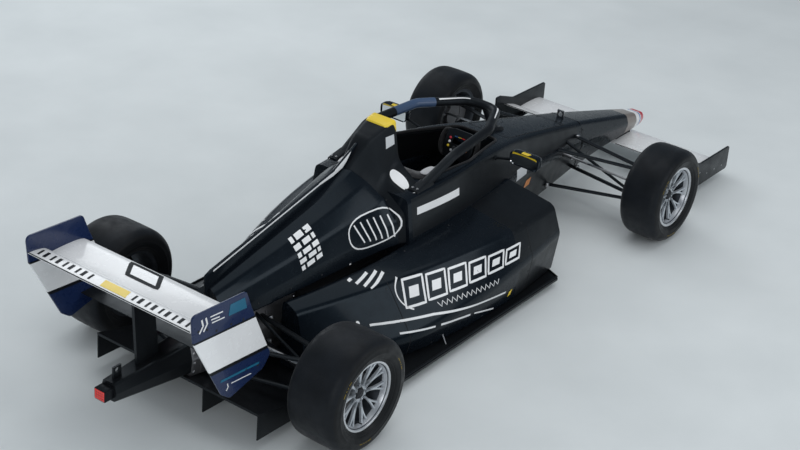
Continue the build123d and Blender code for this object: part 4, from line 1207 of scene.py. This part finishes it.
# rubber bead pressed over the cockpit's edge
ring = roundOutline(cell["opening"], cell["openingR"], 10)
edge = evenPath([(q.x, q.y, 0) for q in ring + ring[:1]], 0.02)[:-1]
keep(tubeAlong("cockpit_edge_trim", [(p.x, p.y, rowAt(cellRows, p.x)[6] - 0.0005) for p in edge], 0.0075, "trimRubber",
               10, closed=True), "padding")

headrest = {
    # outer and inner edge of the horseshoe seen from above, left half from the back to the front
    "outer": [(-0.340, 0.000), (-0.340, 0.120), (-0.335, 0.195), (-0.310, 0.229), (-0.260, 0.236), (-0.170, 0.236),
              (-0.100, 0.234)],
    "inner": [(-0.262, 0.000), (-0.262, 0.095), (-0.258, 0.138), (-0.236, 0.158), (-0.200, 0.164), (-0.150, 0.168),
              (-0.100, 0.176)],
    "z": 0.700, "half": 0.052, "size": 0.94, "travel": 0.006,
    # x, half width and half thickness of a pale side pad
    "pad": [(-0.300, 0.012, 0.003), (-0.292, 0.024, 0.0055), (-0.262, 0.030, 0.0075), (-0.226, 0.030, 0.0075),
            (-0.196, 0.024, 0.0055), (-0.188, 0.012, 0.003)],
    "padY": 0.199, "padZ": 0.7545, "padTravel": 0.0015, "boxy": 0.62,
}


def boxier(v, power):
    return math.copysign(abs(v) ** power, v)


def headrestRings():
    left = list(zip(headrest["outer"], headrest["inner"]))
    line = left[::-1] + [((ox, -oy), (ix, -iy)) for (ox, oy), (ix, iy) in left[1:]]
    dense = [[[a + (b - a) * k / 4 for a, b in zip(p, q)] for p, q in zip(one, two)]
             for one, two in zip(line, line[1:]) for k in range(4)] + line[-1:]
    rings = []
    for k, edges in enumerate(dense):
        # both ends taper off
        end = min(1.0, min(k, len(dense) - 1 - k) / 3 + 0.30)
        o, i = [Vector(p) for p in edges]
        mid = (o + i) / 2
        size = headrest["size"] * (0.55 + 0.45 * end)
        o, i = mid + (o - mid) * size, mid + (i - mid) * size
        half = headrest["half"] * (0.45 + 0.55 * end)
        square = [(boxier(c, headrest["boxy"]), boxier(s, headrest["boxy"])) for c, s in circle(20)]
        rings.append([(*(mid + (o - i) / 2 * c), headrest["z"] + half * s) for c, s in square])
    return rings


cushion("headrest_pad", headrestRings(), "suede", headrest["travel"], 0.8, "headrest")
for side, tag in ((1, "left"), (-1, "right")):
    rings = [[(x, side * (headrest["padY"] + w * c), headrest["padZ"] + t * s) for c, s in circle(16)]
             for x, w, t in headrest["pad"]]
    cushion("headrest_side_pad_" + tag, rings, "padGrey", headrest["padTravel"], 0.7)

seat = {
    # inner surface of the seat seen from the side, from the shoulders to the knees
    "line": [(-0.352, 0.640), (-0.345, 0.560), (-0.340, 0.440), (-0.332, 0.320), (-0.322, 0.220), (-0.300, 0.178),
             (-0.250, 0.158), (-0.150, 0.148), (-0.050, 0.142), (0.060, 0.146), (0.140, 0.186), (0.225, 0.247)],
    # right half of the liner's section: y and height over the shell
    "bolster": [(0.0, 0.0095), (0.050, 0.011), (0.105, 0.016), (0.135, 0.030), (0.160, 0.046), (0.176, 0.030),
                (0.178, 0.002)],
}


def seatLiner():
    # moulded liner with side bolsters, lying on the shell
    line = [Vector(p) for p in smoothRows(seat["line"], 4)]
    section = [(-y, h) for y, h in seat["bolster"][:0:-1]] + seat["bolster"] + [(0.09, 0.0015), (-0.09, 0.0015)]
    rings = []
    for k, (p, t) in enumerate(zip(line, tangents(line))):
        normal = Vector((-t.y, t.x))
        if normal.dot(Vector((0.3, 0.5)) - p) < 0:
            normal = -normal
        taper = min(1.0, min(k, len(line) - 1 - k) / 4 * 0.5 + 0.5)
        spots = [(y * (0.985 if taper < 1 else 1), p + normal * h * taper) for y, h in section]
        rings.append([(q.x, y, q.y) for y, q in spots])
    return softened(loft("seat_liner", rings, "suede", 60))


liner = seatLiner()
keep(liner, "padding")
linerSurface = surfaceOf(liner)
for y, tag in ((-0.085, "a"), (0.085, "b")):
    laid = [laidPoint(linerSurface, (x + 0.14, y, z + 0.03), (-1, 0, -0.05), 0.0006)
            for x, z in smoothRows(seat["line"][:6], 5)]
    stitch = tubeAlong("stitch", [(0, 0, -0.0030), (0, 0, 0.0030)], 0.0008, "padGrey", 6)
    keep(rowOf("liner_stitches_" + tag, stitch, [spot[0] for spot in laid if spot], 0.0095, "padGrey"), "padding")

belts = {
    # path of the left belt, width, way its flat side looks
    "shoulder": ([(-0.318, 0.075, 0.630), (-0.300, 0.074, 0.500), (-0.292, 0.070, 0.360), (-0.276, 0.052, 0.255),
                  (-0.245, 0.030, 0.205)], 0.050, (1, 0, 0.2)),
    "lap": ([(-0.265, 0.150, 0.220), (-0.225, 0.110, 0.202), (-0.215, 0.035, 0.194)], 0.045, (0.2, 0, 1)),
    "leg": ([(-0.120, 0.030, 0.170), (-0.180, 0.024, 0.180), (-0.215, 0.015, 0.190)], 0.036, (0, 0, 1)),
}
buckle = {
    "profile": [(0.0005, 0.011), (0.012, 0.011), (0.0135, 0.009), (0.024, 0.0085), (0.030, 0.005), (0.031, -0.006),
                (0.0005, -0.006)],
    "place": (-0.222, 0, 0.203),
}


def strap(path, width, facing, thick=0.0026):
    pts = evenPath(roundPath(path, 0.05, 6), 0.012)
    rings = []
    for p, t in zip(pts, tangents(pts)):
        up = (Vector(facing) - t * Vector(facing).dot(t)).normalized()
        side = t.cross(up).normalized()
        rings.append([p + side * (width / 2) * a + up * (thick / 2) * b for a, b in (
            (-1, -0.5), (-0.92, -1), (0.92, -1), (1, -0.5), (1, 0.5), (0.92, 1), (-0.92, 1), (-1, 0.5))])
    return loft("strap", rings, "webbing", 50)


keep(joined("harness_belts", [strap([(x, side * y, z) for x, y, z in path], width, facing) for side in (1, -1)
                              for path, width, facing in belts.values()]), "padding")
keep(moved(lathe("harness_buckle", buckle["profile"], (0, 0, 0), "darkMetal", 32), buckle["place"], 90), "dark_metal")
adjuster = boxMesh("adjuster", (-0.295, 0.038, 0.405), (-0.283, 0.102, 0.430), "steel")
keepPair("harness_adjusters", adjuster, "dark_metal")

steer = {
    # the wheel is drawn flat: X across, Y up, Z towards the driver
    "centre": (0.330, 0.0, 0.640), "tilt": math.radians(22), "half": 0.085,
    "grip": [(0.062, 0.071, 0), (0.108, 0.069, 0), (0.120, 0.020, 0), (0.118, -0.030, 0), (0.098, -0.069, 0),
             (0.058, -0.070, 0)],
    "paddle": [(0.030, -0.018), (0.100, -0.030), (0.104, 0.030), (0.030, 0.018)],
    "buttons": [(-0.058, 0.030, "red"), (-0.058, 0.008, "decalWhite"), (-0.060, -0.016, "yellow"),
                (0.058, 0.030, "brightBlue"), (0.058, 0.008, "decalWhite"), (0.060, -0.016, "orange"),
                (-0.034, -0.036, "grey"), (0.034, -0.036, "grey")],
    "button": [(0.0075, 0.0132), (0.0075, 0.0150), (0.0055, 0.0152), (0.0055, 0.0175), (0.0045, 0.0185),
               (0.002, 0.0187)],
    "knob": [(0.0115, 0.0132), (0.0115, 0.0150), (0.0095, 0.0155), (0.0090, 0.0215), (0.0075, 0.0228),
             (0.003, 0.0228)],
    "lamps": ["brightBlue"] * 3 + ["yellow"] * 3 + ["redLens"] * 3,
}


def flatLoft(name, outline, radii, z0, z1, material, edge=0.004):
    # flat piece with eased edges
    pts = roundOutline(outline, radii, 6)
    mid = sum(pts, Vector((0, 0))) / len(pts)
    rings = []
    for inset, z in ((edge, z0), (edge * 0.3, z0 + edge * 0.3), (0, z0 + edge), (0, z1 - edge),
                     (edge * 0.3, z1 - edge * 0.3), (edge, z1)):
        rings.append([(*(p - (p - mid).normalized() * inset), z) for p in pts])
    return loft(name, rings, material, 40)


def gripTube(path):
    pts = evenPath(roundPath(path, 0.040, 8), 0.008)
    radii = [0.0095 + 0.0034 * math.sin(math.pi * i / (len(pts) - 1)) for i in range(len(pts))]
    return tubeAlong("grip", pts, radii, "grip", 18)


def knurled(x, y):
    # knob whose rim goes in and out
    rings = []
    for r, z in steer["knob"]:
        rings.append([(x + r * (1 + 0.06 * (k % 2)) * c, y + r * (1 + 0.06 * (k % 2)) * s, z)
                      for k, (c, s) in enumerate(circle(24))])
    return loft("rotary", rings, "darkMetal", 40)


h = steer["half"]
body = flatLoft("plate", [(-0.080, -h + 0.004), (0.080, -h + 0.004), (0.098, -0.02), (0.092, h - 0.010), (0.050, h),
                          (-0.050, h), (-0.092, h - 0.010), (-0.098, -0.02)], 0.022, -0.0105, 0.0105, "carbon")
panel = flatLoft("panel", [(-0.070, -0.052), (0.070, -0.052), (0.076, 0.045), (-0.076, 0.045)], 0.014, 0.0100, 0.0135,
                 "hoopBlack", 0.0015)
screen = flatLoft("screen", [(-0.038, 0.004), (0.038, 0.004), (0.038, 0.040), (-0.038, 0.040)], 0.004, 0.0130, 0.0146,
                  "screen", 0.0008)
column = tubeAlong("column", [(0, 0, -0.262), (0, 0, -0.030), (0, 0, -0.0301), (0, 0, -0.006)],
                   [0.0098, 0.0098, 0.022, 0.026], "steel", 24)
hub = tubeAlong("hub", [(0, 0, -0.028), (0, 0, -0.012)], [0.020, 0.024], "darkMetal", 24)
wheelSet = [body, panel, screen, column, hub, knurled(-0.020, -0.020), knurled(0.020, -0.020)]
for side in (1, -1):
    wheelSet.append(gripTube([(side * x, y, z) for x, y, z in steer["grip"]]))
    paddle = [(side * x, y) for x, y in steer["paddle"]]
    wheelSet.append(flatLoft("paddle", paddle, 0.008, -0.0150, -0.0125, "carbon", 0.001))
wheelSet += [turned("button", steer["button"], 20, m, 30, (x, y)) for x, y, m in steer["buttons"]]
wheelSet += [turned("shiftLamp", [(0.0024, 0.0128), (0.0024, 0.0144)], 10, m, 30, (-0.032 + 0.008 * i, 0.0445))
             for i, m in enumerate(steer["lamps"])]
handWheel = joined("steering_wheel_dressed", wheelSet)
c, s = math.cos(steer["tilt"]), math.sin(steer["tilt"])
place = Matrix(((0, s, -c), (-1, 0, 0), (0, c, s))).to_4x4()
place.translation = Vector(steer["centre"])
handWheel.data.transform(place)
keep(handWheel, "grip", "steering_wheel", body="hand_wheel")
print("cockpit made")


# markings and fasteners on the panels

panels = ("engine_cover_skin", "cover_fin", "sidepod_left_skin", "sidepod_right_skin", "monocoque_skin", "nose_skin")
bases["panels"] = surfaceOf(*[bpy.data.objects[name] for name in panels])
podBlocks = {"count": 6, "x": -0.800, "pitch": 0.140, "wide": 0.118, "z": 0.302, "rise": 0.0036, "tall": 0.118,
             "shrink": 0.011, "line": 0.011, "margin": 0.030}
coverPanel = {"x": -0.737, "z": 0.608, "half": 0.160, "tall": 0.083, "tilt": 0.04, "bars": 6}
printSquare = {"corner": (-1.221, 0.529), "front": (-1.083, 0.565), "top": (-1.232, 0.690), "rows": 5, "thick": 0.13,
               # where the bars of a row start and end, in even and in odd rows
               "bars": [((0.0, 0.16), (0.26, 0.62), (0.72, 1.0)), ((0.0, 0.30), (0.42, 0.78), (0.86, 1.0))]}


def slanted(x0, x1, z0, z1, lean):
    return [(x0 - lean, z0), (x1 - lean, z0), (x1 + lean, z1), (x0 + lean, z1)]


def oval(x, z, rx, rz, count, px=1, pz=1):
    # powers under 1 make it boxier
    return [(x + rx * boxier(c, px), z + rz * boxier(s, pz)) for c, s in circle(count)]


def podMarks():
    # a row of outlined slanted blocks that grow smaller towards the intake
    row, margin = podBlocks, podBlocks["margin"]
    for k in range(row["count"]):
        x0, z, tall = row["x"] + row["pitch"] * k, row["z"] + row["rise"] * k, row["tall"] - row["shrink"] * k
        x1 = x0 + row["wide"]
        filmLine("flanks", slanted(x0, x1, z, z + tall, 0.020), row["line"], "decalWhite", closed=True)
        filmPatch("flanks", slanted(x0 + margin, x1 - margin, z + tall * 0.30, z + tall * 0.70, 0.010), "decalWhite")
    filmLine("flanks", [(-1.034, 0.268), (-0.690, 0.243), (-0.109, 0.155)], 0.011, "decalWhite")
    for path, width in (([(-0.908, 0.206), (-0.700, 0.187)], 0.009), ([(-0.660, 0.183), (-0.420, 0.146)], 0.012),
                        ([(-0.385, 0.140), (-0.200, 0.090)], 0.009)):
        filmLine("flanks", path, width, "decalWhite")
    filmPatch("flanks", oval(-1.085, 0.287, 0.010, 0.010, 14), "decalWhite", cell=0.03)
    filmPatch("flanks", [(-0.078, 0.110), (-0.052, 0.116), (-0.040, 0.146), (-0.066, 0.140)], "yellow")


def coverMarks():
    # rounded panel of slanting bars that runs from the cover over the joint to the cockpit side
    for k in range(coverPanel["bars"]):
        filmLine("flanks", [(-0.852 + 0.044 * k, 0.655 + 0.0050 * k - 0.0011 * k * k),
                            (-0.806 + 0.038 * k, 0.556 - 0.004 * k)], 0.0085, "decalWhite")
    edge = oval(coverPanel["x"], coverPanel["z"], coverPanel["half"], coverPanel["tall"], 28, 0.7, 0.8)
    rim = [(x, z + coverPanel["tilt"] * (x - coverPanel["x"])) for x, z in edge]
    filmLine("flanks", rim, 0.0075, "decalWhite", closed=True)
    arc = [math.radians(t) for t in range(122, 250, 9)]
    filmLine("flanks", [(-0.748 + 0.092 * math.cos(a), 0.364 + 0.082 * math.sin(a)) for a in arc], 0.0065, "decalWhite")
    for k in range(4):
        filmLine("flanks", [(-1.020 + 0.022 * k, 0.448 - 0.010 * k), (-0.900 + 0.024 * k, 0.470 - 0.006 * k)], 0.006,
                 "decalWhite")


def flankSquare():
    # plain square of short bars, like a printed panel without any words
    corner = Vector(printSquare["corner"])
    u, v = Vector(printSquare["front"]) - corner, Vector(printSquare["top"]) - corner
    for r in range(printSquare["rows"]):
        low = 0.04 + 0.195 * r
        high = low + printSquare["thick"]
        for a, b in printSquare["bars"][r % 2]:
            spots = ((a, low), (b, low), (b, high), (a, high))
            filmPatch("flanks", [tuple(corner + u * along + v * up) for along, up in spots], "decalWhite")


def finMarks():
    # white flash on the fin: a thin stripe that widens to a slanted head
    head = [(-0.672, 0.9440), (-0.800, 0.8750), (-0.920, 0.8470), (-0.920, 0.8370), (-0.810, 0.8520), (-0.740, 0.8720),
            (-0.706, 0.8990)]
    filmPatch("flanks", head, "decalWhite", cell=0.012)
    filmLine("flanks", [(-0.915, 0.842), (-1.298, 0.7515), (-1.690, 0.6595)], 0.0085, "decalWhite")


def cellLabels():
    filmPatch("flanks", [(0.575, 0.418), (0.715, 0.412), (0.722, 0.470), (0.585, 0.482)], "grey")
    filmPatch("flanks", [(0.745, 0.296), (0.812, 0.300), (0.810, 0.352), (0.748, 0.350)], "orange")
    filmPatch("flanks", [(-0.489, 0.628), (-0.115, 0.609), (-0.113, 0.650), (-0.487, 0.668)], "decalWhite")
    filmPatch("flanks", oval(-0.474, 0.775, 0.034, 0.040, 28), "decalWhite", cell=0.012)
    filmPatch("flanks", [(-0.492, 0.925), (-0.428, 0.935), (-0.424, 0.985), (-0.482, 0.982)], "grey", cell=0.012)


def wingMarks():
    # plain slanted shapes on the rear wing
    filmLine("top", [(-2.148, -0.085), (-2.046, -0.015), (-2.046, 0.170), (-2.148, 0.100)], 0.022, "hoopBlack",
             "rear_wing_main", closed=True)
    for way in (-1, 1):
        for k in range(9):
            y, wide, lean = way * (0.135 + 0.040 * k), 0.012 + 0.006 * (k % 2), 0.014
            filmPatch("top", [(-2.352, y), (-2.352, y + wide), (-2.300, y + lean + wide), (-2.300, y + lean)],
                      "hoopBlack", "rear_wing_flap")
    filmPatch("top", [(-2.358, -0.095), (-2.358, 0.060), (-2.296, 0.085), (-2.296, -0.070)], "yellow", "rear_wing_flap")


def plateMarks():
    # plain strokes and patches on the rear endplates
    for outline in ([(-2.150, 0.822), (-2.030, 0.814), (-2.046, 0.872), (-2.140, 0.876)],
                    [(-2.190, 0.496), (-1.935, 0.480), (-1.930, 0.490), (-2.188, 0.508)]):
        filmPatch("flanks", outline, "teal", "plates")
    strokes = [([(-2.335 + x, 0.812), (-2.312 + x, 0.842), (-2.322 + x, 0.876)], 0.009) for x in (0, 0.026)]
    strokes += [([(-2.268 + 0.006 * k, 0.868 - 0.017 * k), (-2.268 + reach, 0.862 - 0.017 * k)], 0.006)
                for k, reach in enumerate((0.080, 0.060, 0.092))]
    strokes += [([(-2.150, 0.436), (-2.138, 0.452), (-2.144, 0.472)], 0.006),
                ([(-2.118, 0.462), (-1.985, 0.452)], 0.0045)]
    for path, width in strokes:
        filmLine("flanks", path, width, "decalWhite", "plates")


def podScribble():
    # thin restless line under the pod's blocks
    zigzag = [(-0.640 + 0.017 * k, (0.262 if k % 2 else 0.286) - 0.00045 * k) for k in range(27)]
    filmLine("flanks", zigzag, 0.0036, "decalWhite")


def panelJoints():
    # thin dark lines where panels meet
    for path in ([(-0.560, 0.510), (-0.560, 0.560), (-0.560, 0.735)], [(0.12, 0.500), (0.12, 0.30), (0.12, 0.075)],
                 [(-0.860, 0.470), (-0.860, 0.30), (-0.860, 0.075)]):
        filmLine("flanks", path, 0.0030, "trimRubber", lift=0.0004, thick=0.0005)
    filmLine("top", [(1.482, -0.13), (1.482, 0.13)], 0.0030, "trimRubber")
    filmLine("flanks", [(1.482, 0.42), (1.482, 0.16)], 0.0030, "trimRubber")
    filmLine("top", [(0.62, -0.14), (1.30, -0.10), (1.30, 0.10), (0.62, 0.14)], 0.0026, "trimRubber", closed=True)


for lay in (cellLabels, podMarks, coverMarks, flankSquare, finMarks, wingMarks, plateMarks, podScribble, panelJoints):
    lay()
filmSlots = {"decalWhite": "white_paint", "trimRubber": "black_paint", "hoopBlack": "black_paint"}
for material, pieces in films.items():
    keep(joined("markings_" + material, pieces), filmSlots.get(material, "plate_paint"))
print("markings laid")

fasteners = {
    # radius and height of the domed head; where they sit seen from the side and from above
    "head": [(0.006, -0.001), (0.006, 0.00064), (0.00492, 0.00144), (0.0027, 0.0016), (0.0024, 0.00056)],
    "side": [(-0.585, 0.70), (-0.585, 0.60), (-0.90, 0.475), (-1.10, 0.475), (-1.30, 0.468), (-1.50, 0.455),
             (-1.66, 0.450), (0.10, 0.46), (0.10, 0.34), (0.10, 0.20), (0.10, 0.095), (-0.30, 0.085), (-0.70, 0.085),
             (-1.05, 0.085), (-0.88, 0.40), (-0.88, 0.25), (1.462, 0.40), (1.462, 0.25), (1.502, 0.40), (1.502, 0.25)],
    "top": [(0.66, 0.075), (0.88, 0.075), (1.10, 0.075), (1.27, 0.075), (-0.25, 0.36), (-0.62, 0.35), (0.25, 0.33)],
}
spots = [spot for way in flanks for spot in laidSpots(fasteners["side"], way)]
spots += laidSpots([(x, side * y) for x, y in fasteners["top"] for side in (-1, 1)], "top")
studsAt("panel_fasteners", turned("quarterTurn", fasteners["head"], 12), spots, "darkMetal", 0.85)
print("fasteners set")


# tail, drive and suspension details

# tail lamp: lens blocks in a dark frame, facing back
lampFrame = flatLoft("lampFrame", [(-0.034, 0.282), (0.034, 0.282), (0.034, 0.342), (-0.034, 0.342)], 0.006, 0, 0.0575,
                     "hoopBlack", 0.003)
lampFrame.data.transform(Matrix(((0, 0, -1, -2.3655), (-1, 0, 0, 0), (0, 1, 0, 0), (0, 0, 0, 1))))
lenses = []
for z in (0.2925, 0.3055, 0.3185, 0.3315):
    for y in (-0.0245, -0.01225, 0, 0.01225, 0.0245):
        lenses.append(boxMesh("lampCell", (-2.4248, y - 0.0052, z - 0.0055), (-2.4200, y + 0.0052, z + 0.0055),
                              "redLens", 0.0014, 2))
keep(joined("rain_light_dressed", [lampFrame] + lenses), "red_lens", "rain_light")

shaft = {
    "centre": (-1.575, 0, 0.290), "from": 0.10, "to": 0.675, "radius": 0.0138,
    # from, to, radius there, and radius at the other end of a boot with three folds
    "boots": [(0.148, 0.205, 0.0385, 0.0200), (0.575, 0.640, 0.0200, 0.0385)],
    "cups": [[(0.014, 0.098), (0.0418, 0.098), (0.0418, 0.142), (0.039, 0.150), (0.014, 0.150), (0.014, 0.098)],
             [(0.014, 0.638), (0.039, 0.638), (0.0418, 0.645), (0.0418, 0.6745), (0.014, 0.6745), (0.014, 0.638)]],
}


def boot(y0, y1, r0, r1, folds=3):
    folded = [(r0 + (r1 - r0) * t + 0.0032 * math.cos(2 * math.pi * folds * t), y0 + (y1 - y0) * t)
              for t in [i / (folds * 4) for i in range(folds * 4 + 1)]]
    foot = [(0.0142, y0 - 0.001)]
    return lathe("boot", foot + folded + [(0.0142, y1 + 0.001)] + foot, shaft["centre"], "trimRubber", 40, 50)


x, _, z = shaft["centre"]
bar = tubeAlong("shaft", [(x, shaft["from"], z), (x, shaft["to"], z)], shaft["radius"], "steel", 24)
boots = [boot(*sizes) for sizes in shaft["boots"]]
cups = [lathe("cup", profile, shaft["centre"], "darkMetal", 40) for profile in shaft["cups"]]
keepPair("driveshafts_dressed", joined("halfShaft", [bar] + boots + cups), "dark_metal", "driveshafts")

# gearbox: cast skin with ribs and the bolts of its two flanges
gearSkin = addObject("gearbox_skin", nodes["gearbox"].data.copy())
setMaterials(gearSkin.data, ["magnesium"])
cleaned(gearSkin.data, 2e-5, outward=False)
keep(shade(gearSkin, 30), "upright_metal", "gearbox")
bases["gearbox"] = surfaceOf(gearSkin)
ribPaths = [laidSpots([(x, 0.16 + 0.02 * k) for k in range(11)], way, "gearbox", 0.001)
            for x in (-1.26, -1.40, -1.54, -1.70, -1.84) for way in flanks]
keep(joined("gearbox_ribs", [tubeAlong("rib", [spot[0] for spot in path], 0.0050, "magnesium", 8, up=(1, 0, 0))
                             for path in ribPaths if len(path) > 3]), "upright_metal")
flange = [(x, z) for x in (-1.20, -1.885) for z in (0.17, 0.22, 0.27, 0.32, 0.36)]
bolts = [spot for way in flanks for spot in laidSpots(flange, way, "gearbox", 0.0003)]
studsAt("gearbox_bolts", hexNut(0.0085, 0.005), bolts)

exhaust = {
    "from": (-1.730, 0.072, 0.416), "to": (-2.010, 0.092, 0.430),
    # outside with its clamp, rolled lip counted back from the mouth, bore
    "skin": [(0.0, 0.030), (0.002, 0.0316), (0.058, 0.0318), (0.060, 0.0322), (0.063, 0.0322), (0.065, 0.0316),
             (0.150, 0.0316)],
    "lip": [(0.004, 0.0316), (0.001, 0.0320), (0, 0.0310), (0.0008, 0.0292), (0.05, 0.0288)],
    "bore": [(0.08, 0.0284), (0.075, 0.020)],
}
start = Vector(exhaust["from"])
along = Vector(exhaust["to"]) - start
pipe = exhaust["skin"] + [(along.length - back, r) for back, r in exhaust["lip"]] + exhaust["bore"]
along.normalize()
side = along.cross(Vector((0, 0, 1))).normalized()
up = side.cross(along)
keep(loft("exhaust_skin", [[start + along * at + side * r * c + up * r * s for c, s in circle(36)] for at, r in pipe],
          "exhaust", 34), "dark_metal", "exhaust_pipe")

# floor: turned-up edge along each side and stay rods to the pods
edge = [(0.545, 0.335, 0.0575), (0.385, 0.690, 0.0575), (-1.145, 0.690, 0.0575), (-1.235, 0.570, 0.0575)]
keepPair("floor_edge_bead", tubeAlong("floorEdge", evenPath(edge, 0.03), 0.0055, "carbon", 10), "carbon")
stays = {-1.02: 0.545, -0.62: 0.600}   # x, and y of the upper end
rods = [tubeAlong("stay", [(x, 0.655, 0.054), (x, y, 0.150)], 0.004, "steel", 10) for x, y in stays.items()]
keepPair("floor_stays", joined("rods", rods), "dark_metal")

armEnds = {
    "ball": [(0.0005, 0.013), (0.009, 0.013), (0.0135, 0.009), (0.0145, 0.0), (0.0135, -0.009), (0.009, -0.013),
             (0.0005, -0.013)],
    "left": [(1.135, 0.150, 0.399), (1.395, 0.150, 0.399), (1.095, 0.150, 0.181), (1.435, 0.150, 0.181),
             (-1.425, 0.150, 0.350), (-1.785, 0.110, 0.347), (-1.425, 0.150, 0.2155), (-1.805, 0.110, 0.2155)],
}
balls = [moved(lathe("armEnd", armEnds["ball"], (0, 0, 0), "steel", 20), spot, 90) for spot in armEnds["left"]]
keepPair("arm_end_joints", joined("balls", balls), "dark_metal")
print("tail and suspension details made")


# nodes that keep their own mesh and only take a finish

carried = {
    "carbon": ("floor", "diffuser", "crash_structure", "rear_wing_pillar", "front_wing_pylons", "seat"),
    "darkMetal": ("engine",), "steel": ("steering_rack",),
    "armCarbon": ("front_upper_wishbones", "front_lower_wishbones", "front_pushrods", "rear_upper_wishbones",
                  "rear_lower_wishbones", "rear_pushrods"),
    "magnesium": ("rear_uprights", "front_upright_left", "front_upright_right"),
}
for material, names in carried.items():
    for name in names:
        nodes[name].data.materials.clear()
        nodes[name].data.materials.append(mats[material])
print("carried-over nodes finished")


# camera, lights and floor

view = {"place": (-7.094, -4.816, 4.748), "aim": (-0.22, -0.03, 0.36), "right": (0.66118985, -0.74951581, 0.03246577),
        "lens": 79.0}
lights = {
    # place, what it looks at, size, power, colour
    "overhead": ((0.5, 0.0, 6.5), (0, 0, 0.3), (7, 5), 100, (1, 1, 1)),
    "left window": ((2.5, 6.5, 4.0), (0, 0, 0.5), (6, 3), 110, (0.93, 0.97, 1.0)),
    "rear fill": ((-7.5, -3.0, 3.2), (-0.5, 0, 0.5), (4, 2.5), 80, (0.97, 0.98, 1.0)),
    "right fill": ((1.0, -7.0, 3.5), (0, 0, 0.4), (6, 2.5), 100, (0.97, 0.98, 1.0)),
}


def addCamera():
    cam = addObject("camera", bpy.data.cameras.new("camera"))
    place = Vector(view["place"])
    ahead = (Vector(view["aim"]) - place).normalized()
    right = Vector(view["right"])
    right = (right - ahead * right.dot(ahead)).normalized()
    turn = Matrix((right, right.cross(ahead), -ahead)).transposed().to_4x4()
    turn.translation = place
    cam.matrix_world = turn
    cam.data.lens = view["lens"]
    cam.data.sensor_width = 36
    cam.data.clip_end = 200
    bpy.context.scene.camera = cam


def addLight(name, place, target, size, power, colour):
    data = bpy.data.lights.new(name, "AREA")
    data.shape = "RECTANGLE"
    data.size, data.size_y = size
    data.energy = power
    data.color = colour
    lamp = addObject(name, data)
    lamp.location = place
    lamp.rotation_euler = (Vector(target) - Vector(place)).to_track_quat("-Z", "Y").to_euler()


def addFloor(radius=60.0, sides=96):
    me = bpy.data.meshes.new("studio_floor")
    me.from_pydata([(radius * c, radius * s, -0.001) for c, s in circle(sides)], [], [list(range(sides))])
    me.materials.append(mats["floor"])
    addObject("studio_floor", me)


def addSky():
    world = bpy.data.worlds.new("studio")
    bpy.context.scene.world = world
    world.use_nodes = True
    tree = world.node_tree
    sky = tree.nodes["Background"]
    sky.inputs["Color"].default_value = (0.87, 0.915, 0.955, 1)
    sky.inputs["Strength"].default_value = 0.56
    # dimmer sky in the reflections, so that black paint stays black
    dim = addNode(tree, "ShaderNodeBackground", {"Color": (0.62, 0.80, 1.0, 1), "Strength": 0.15})
    glossy = tree.nodes.new("ShaderNodeLightPath").outputs["Is Glossy Ray"]
    mix = addNode(tree, "ShaderNodeMixShader", {"Fac": glossy, 1: sky.outputs[0], 2: dim.outputs[0]})
    tree.links.new(mix.outputs["Shader"], tree.nodes["World Output"].inputs["Surface"])


addCamera()
addFloor()
for name, settings in lights.items():
    addLight(name, *settings)
addSky()
bpy.context.scene.view_settings.view_transform = "Standard"
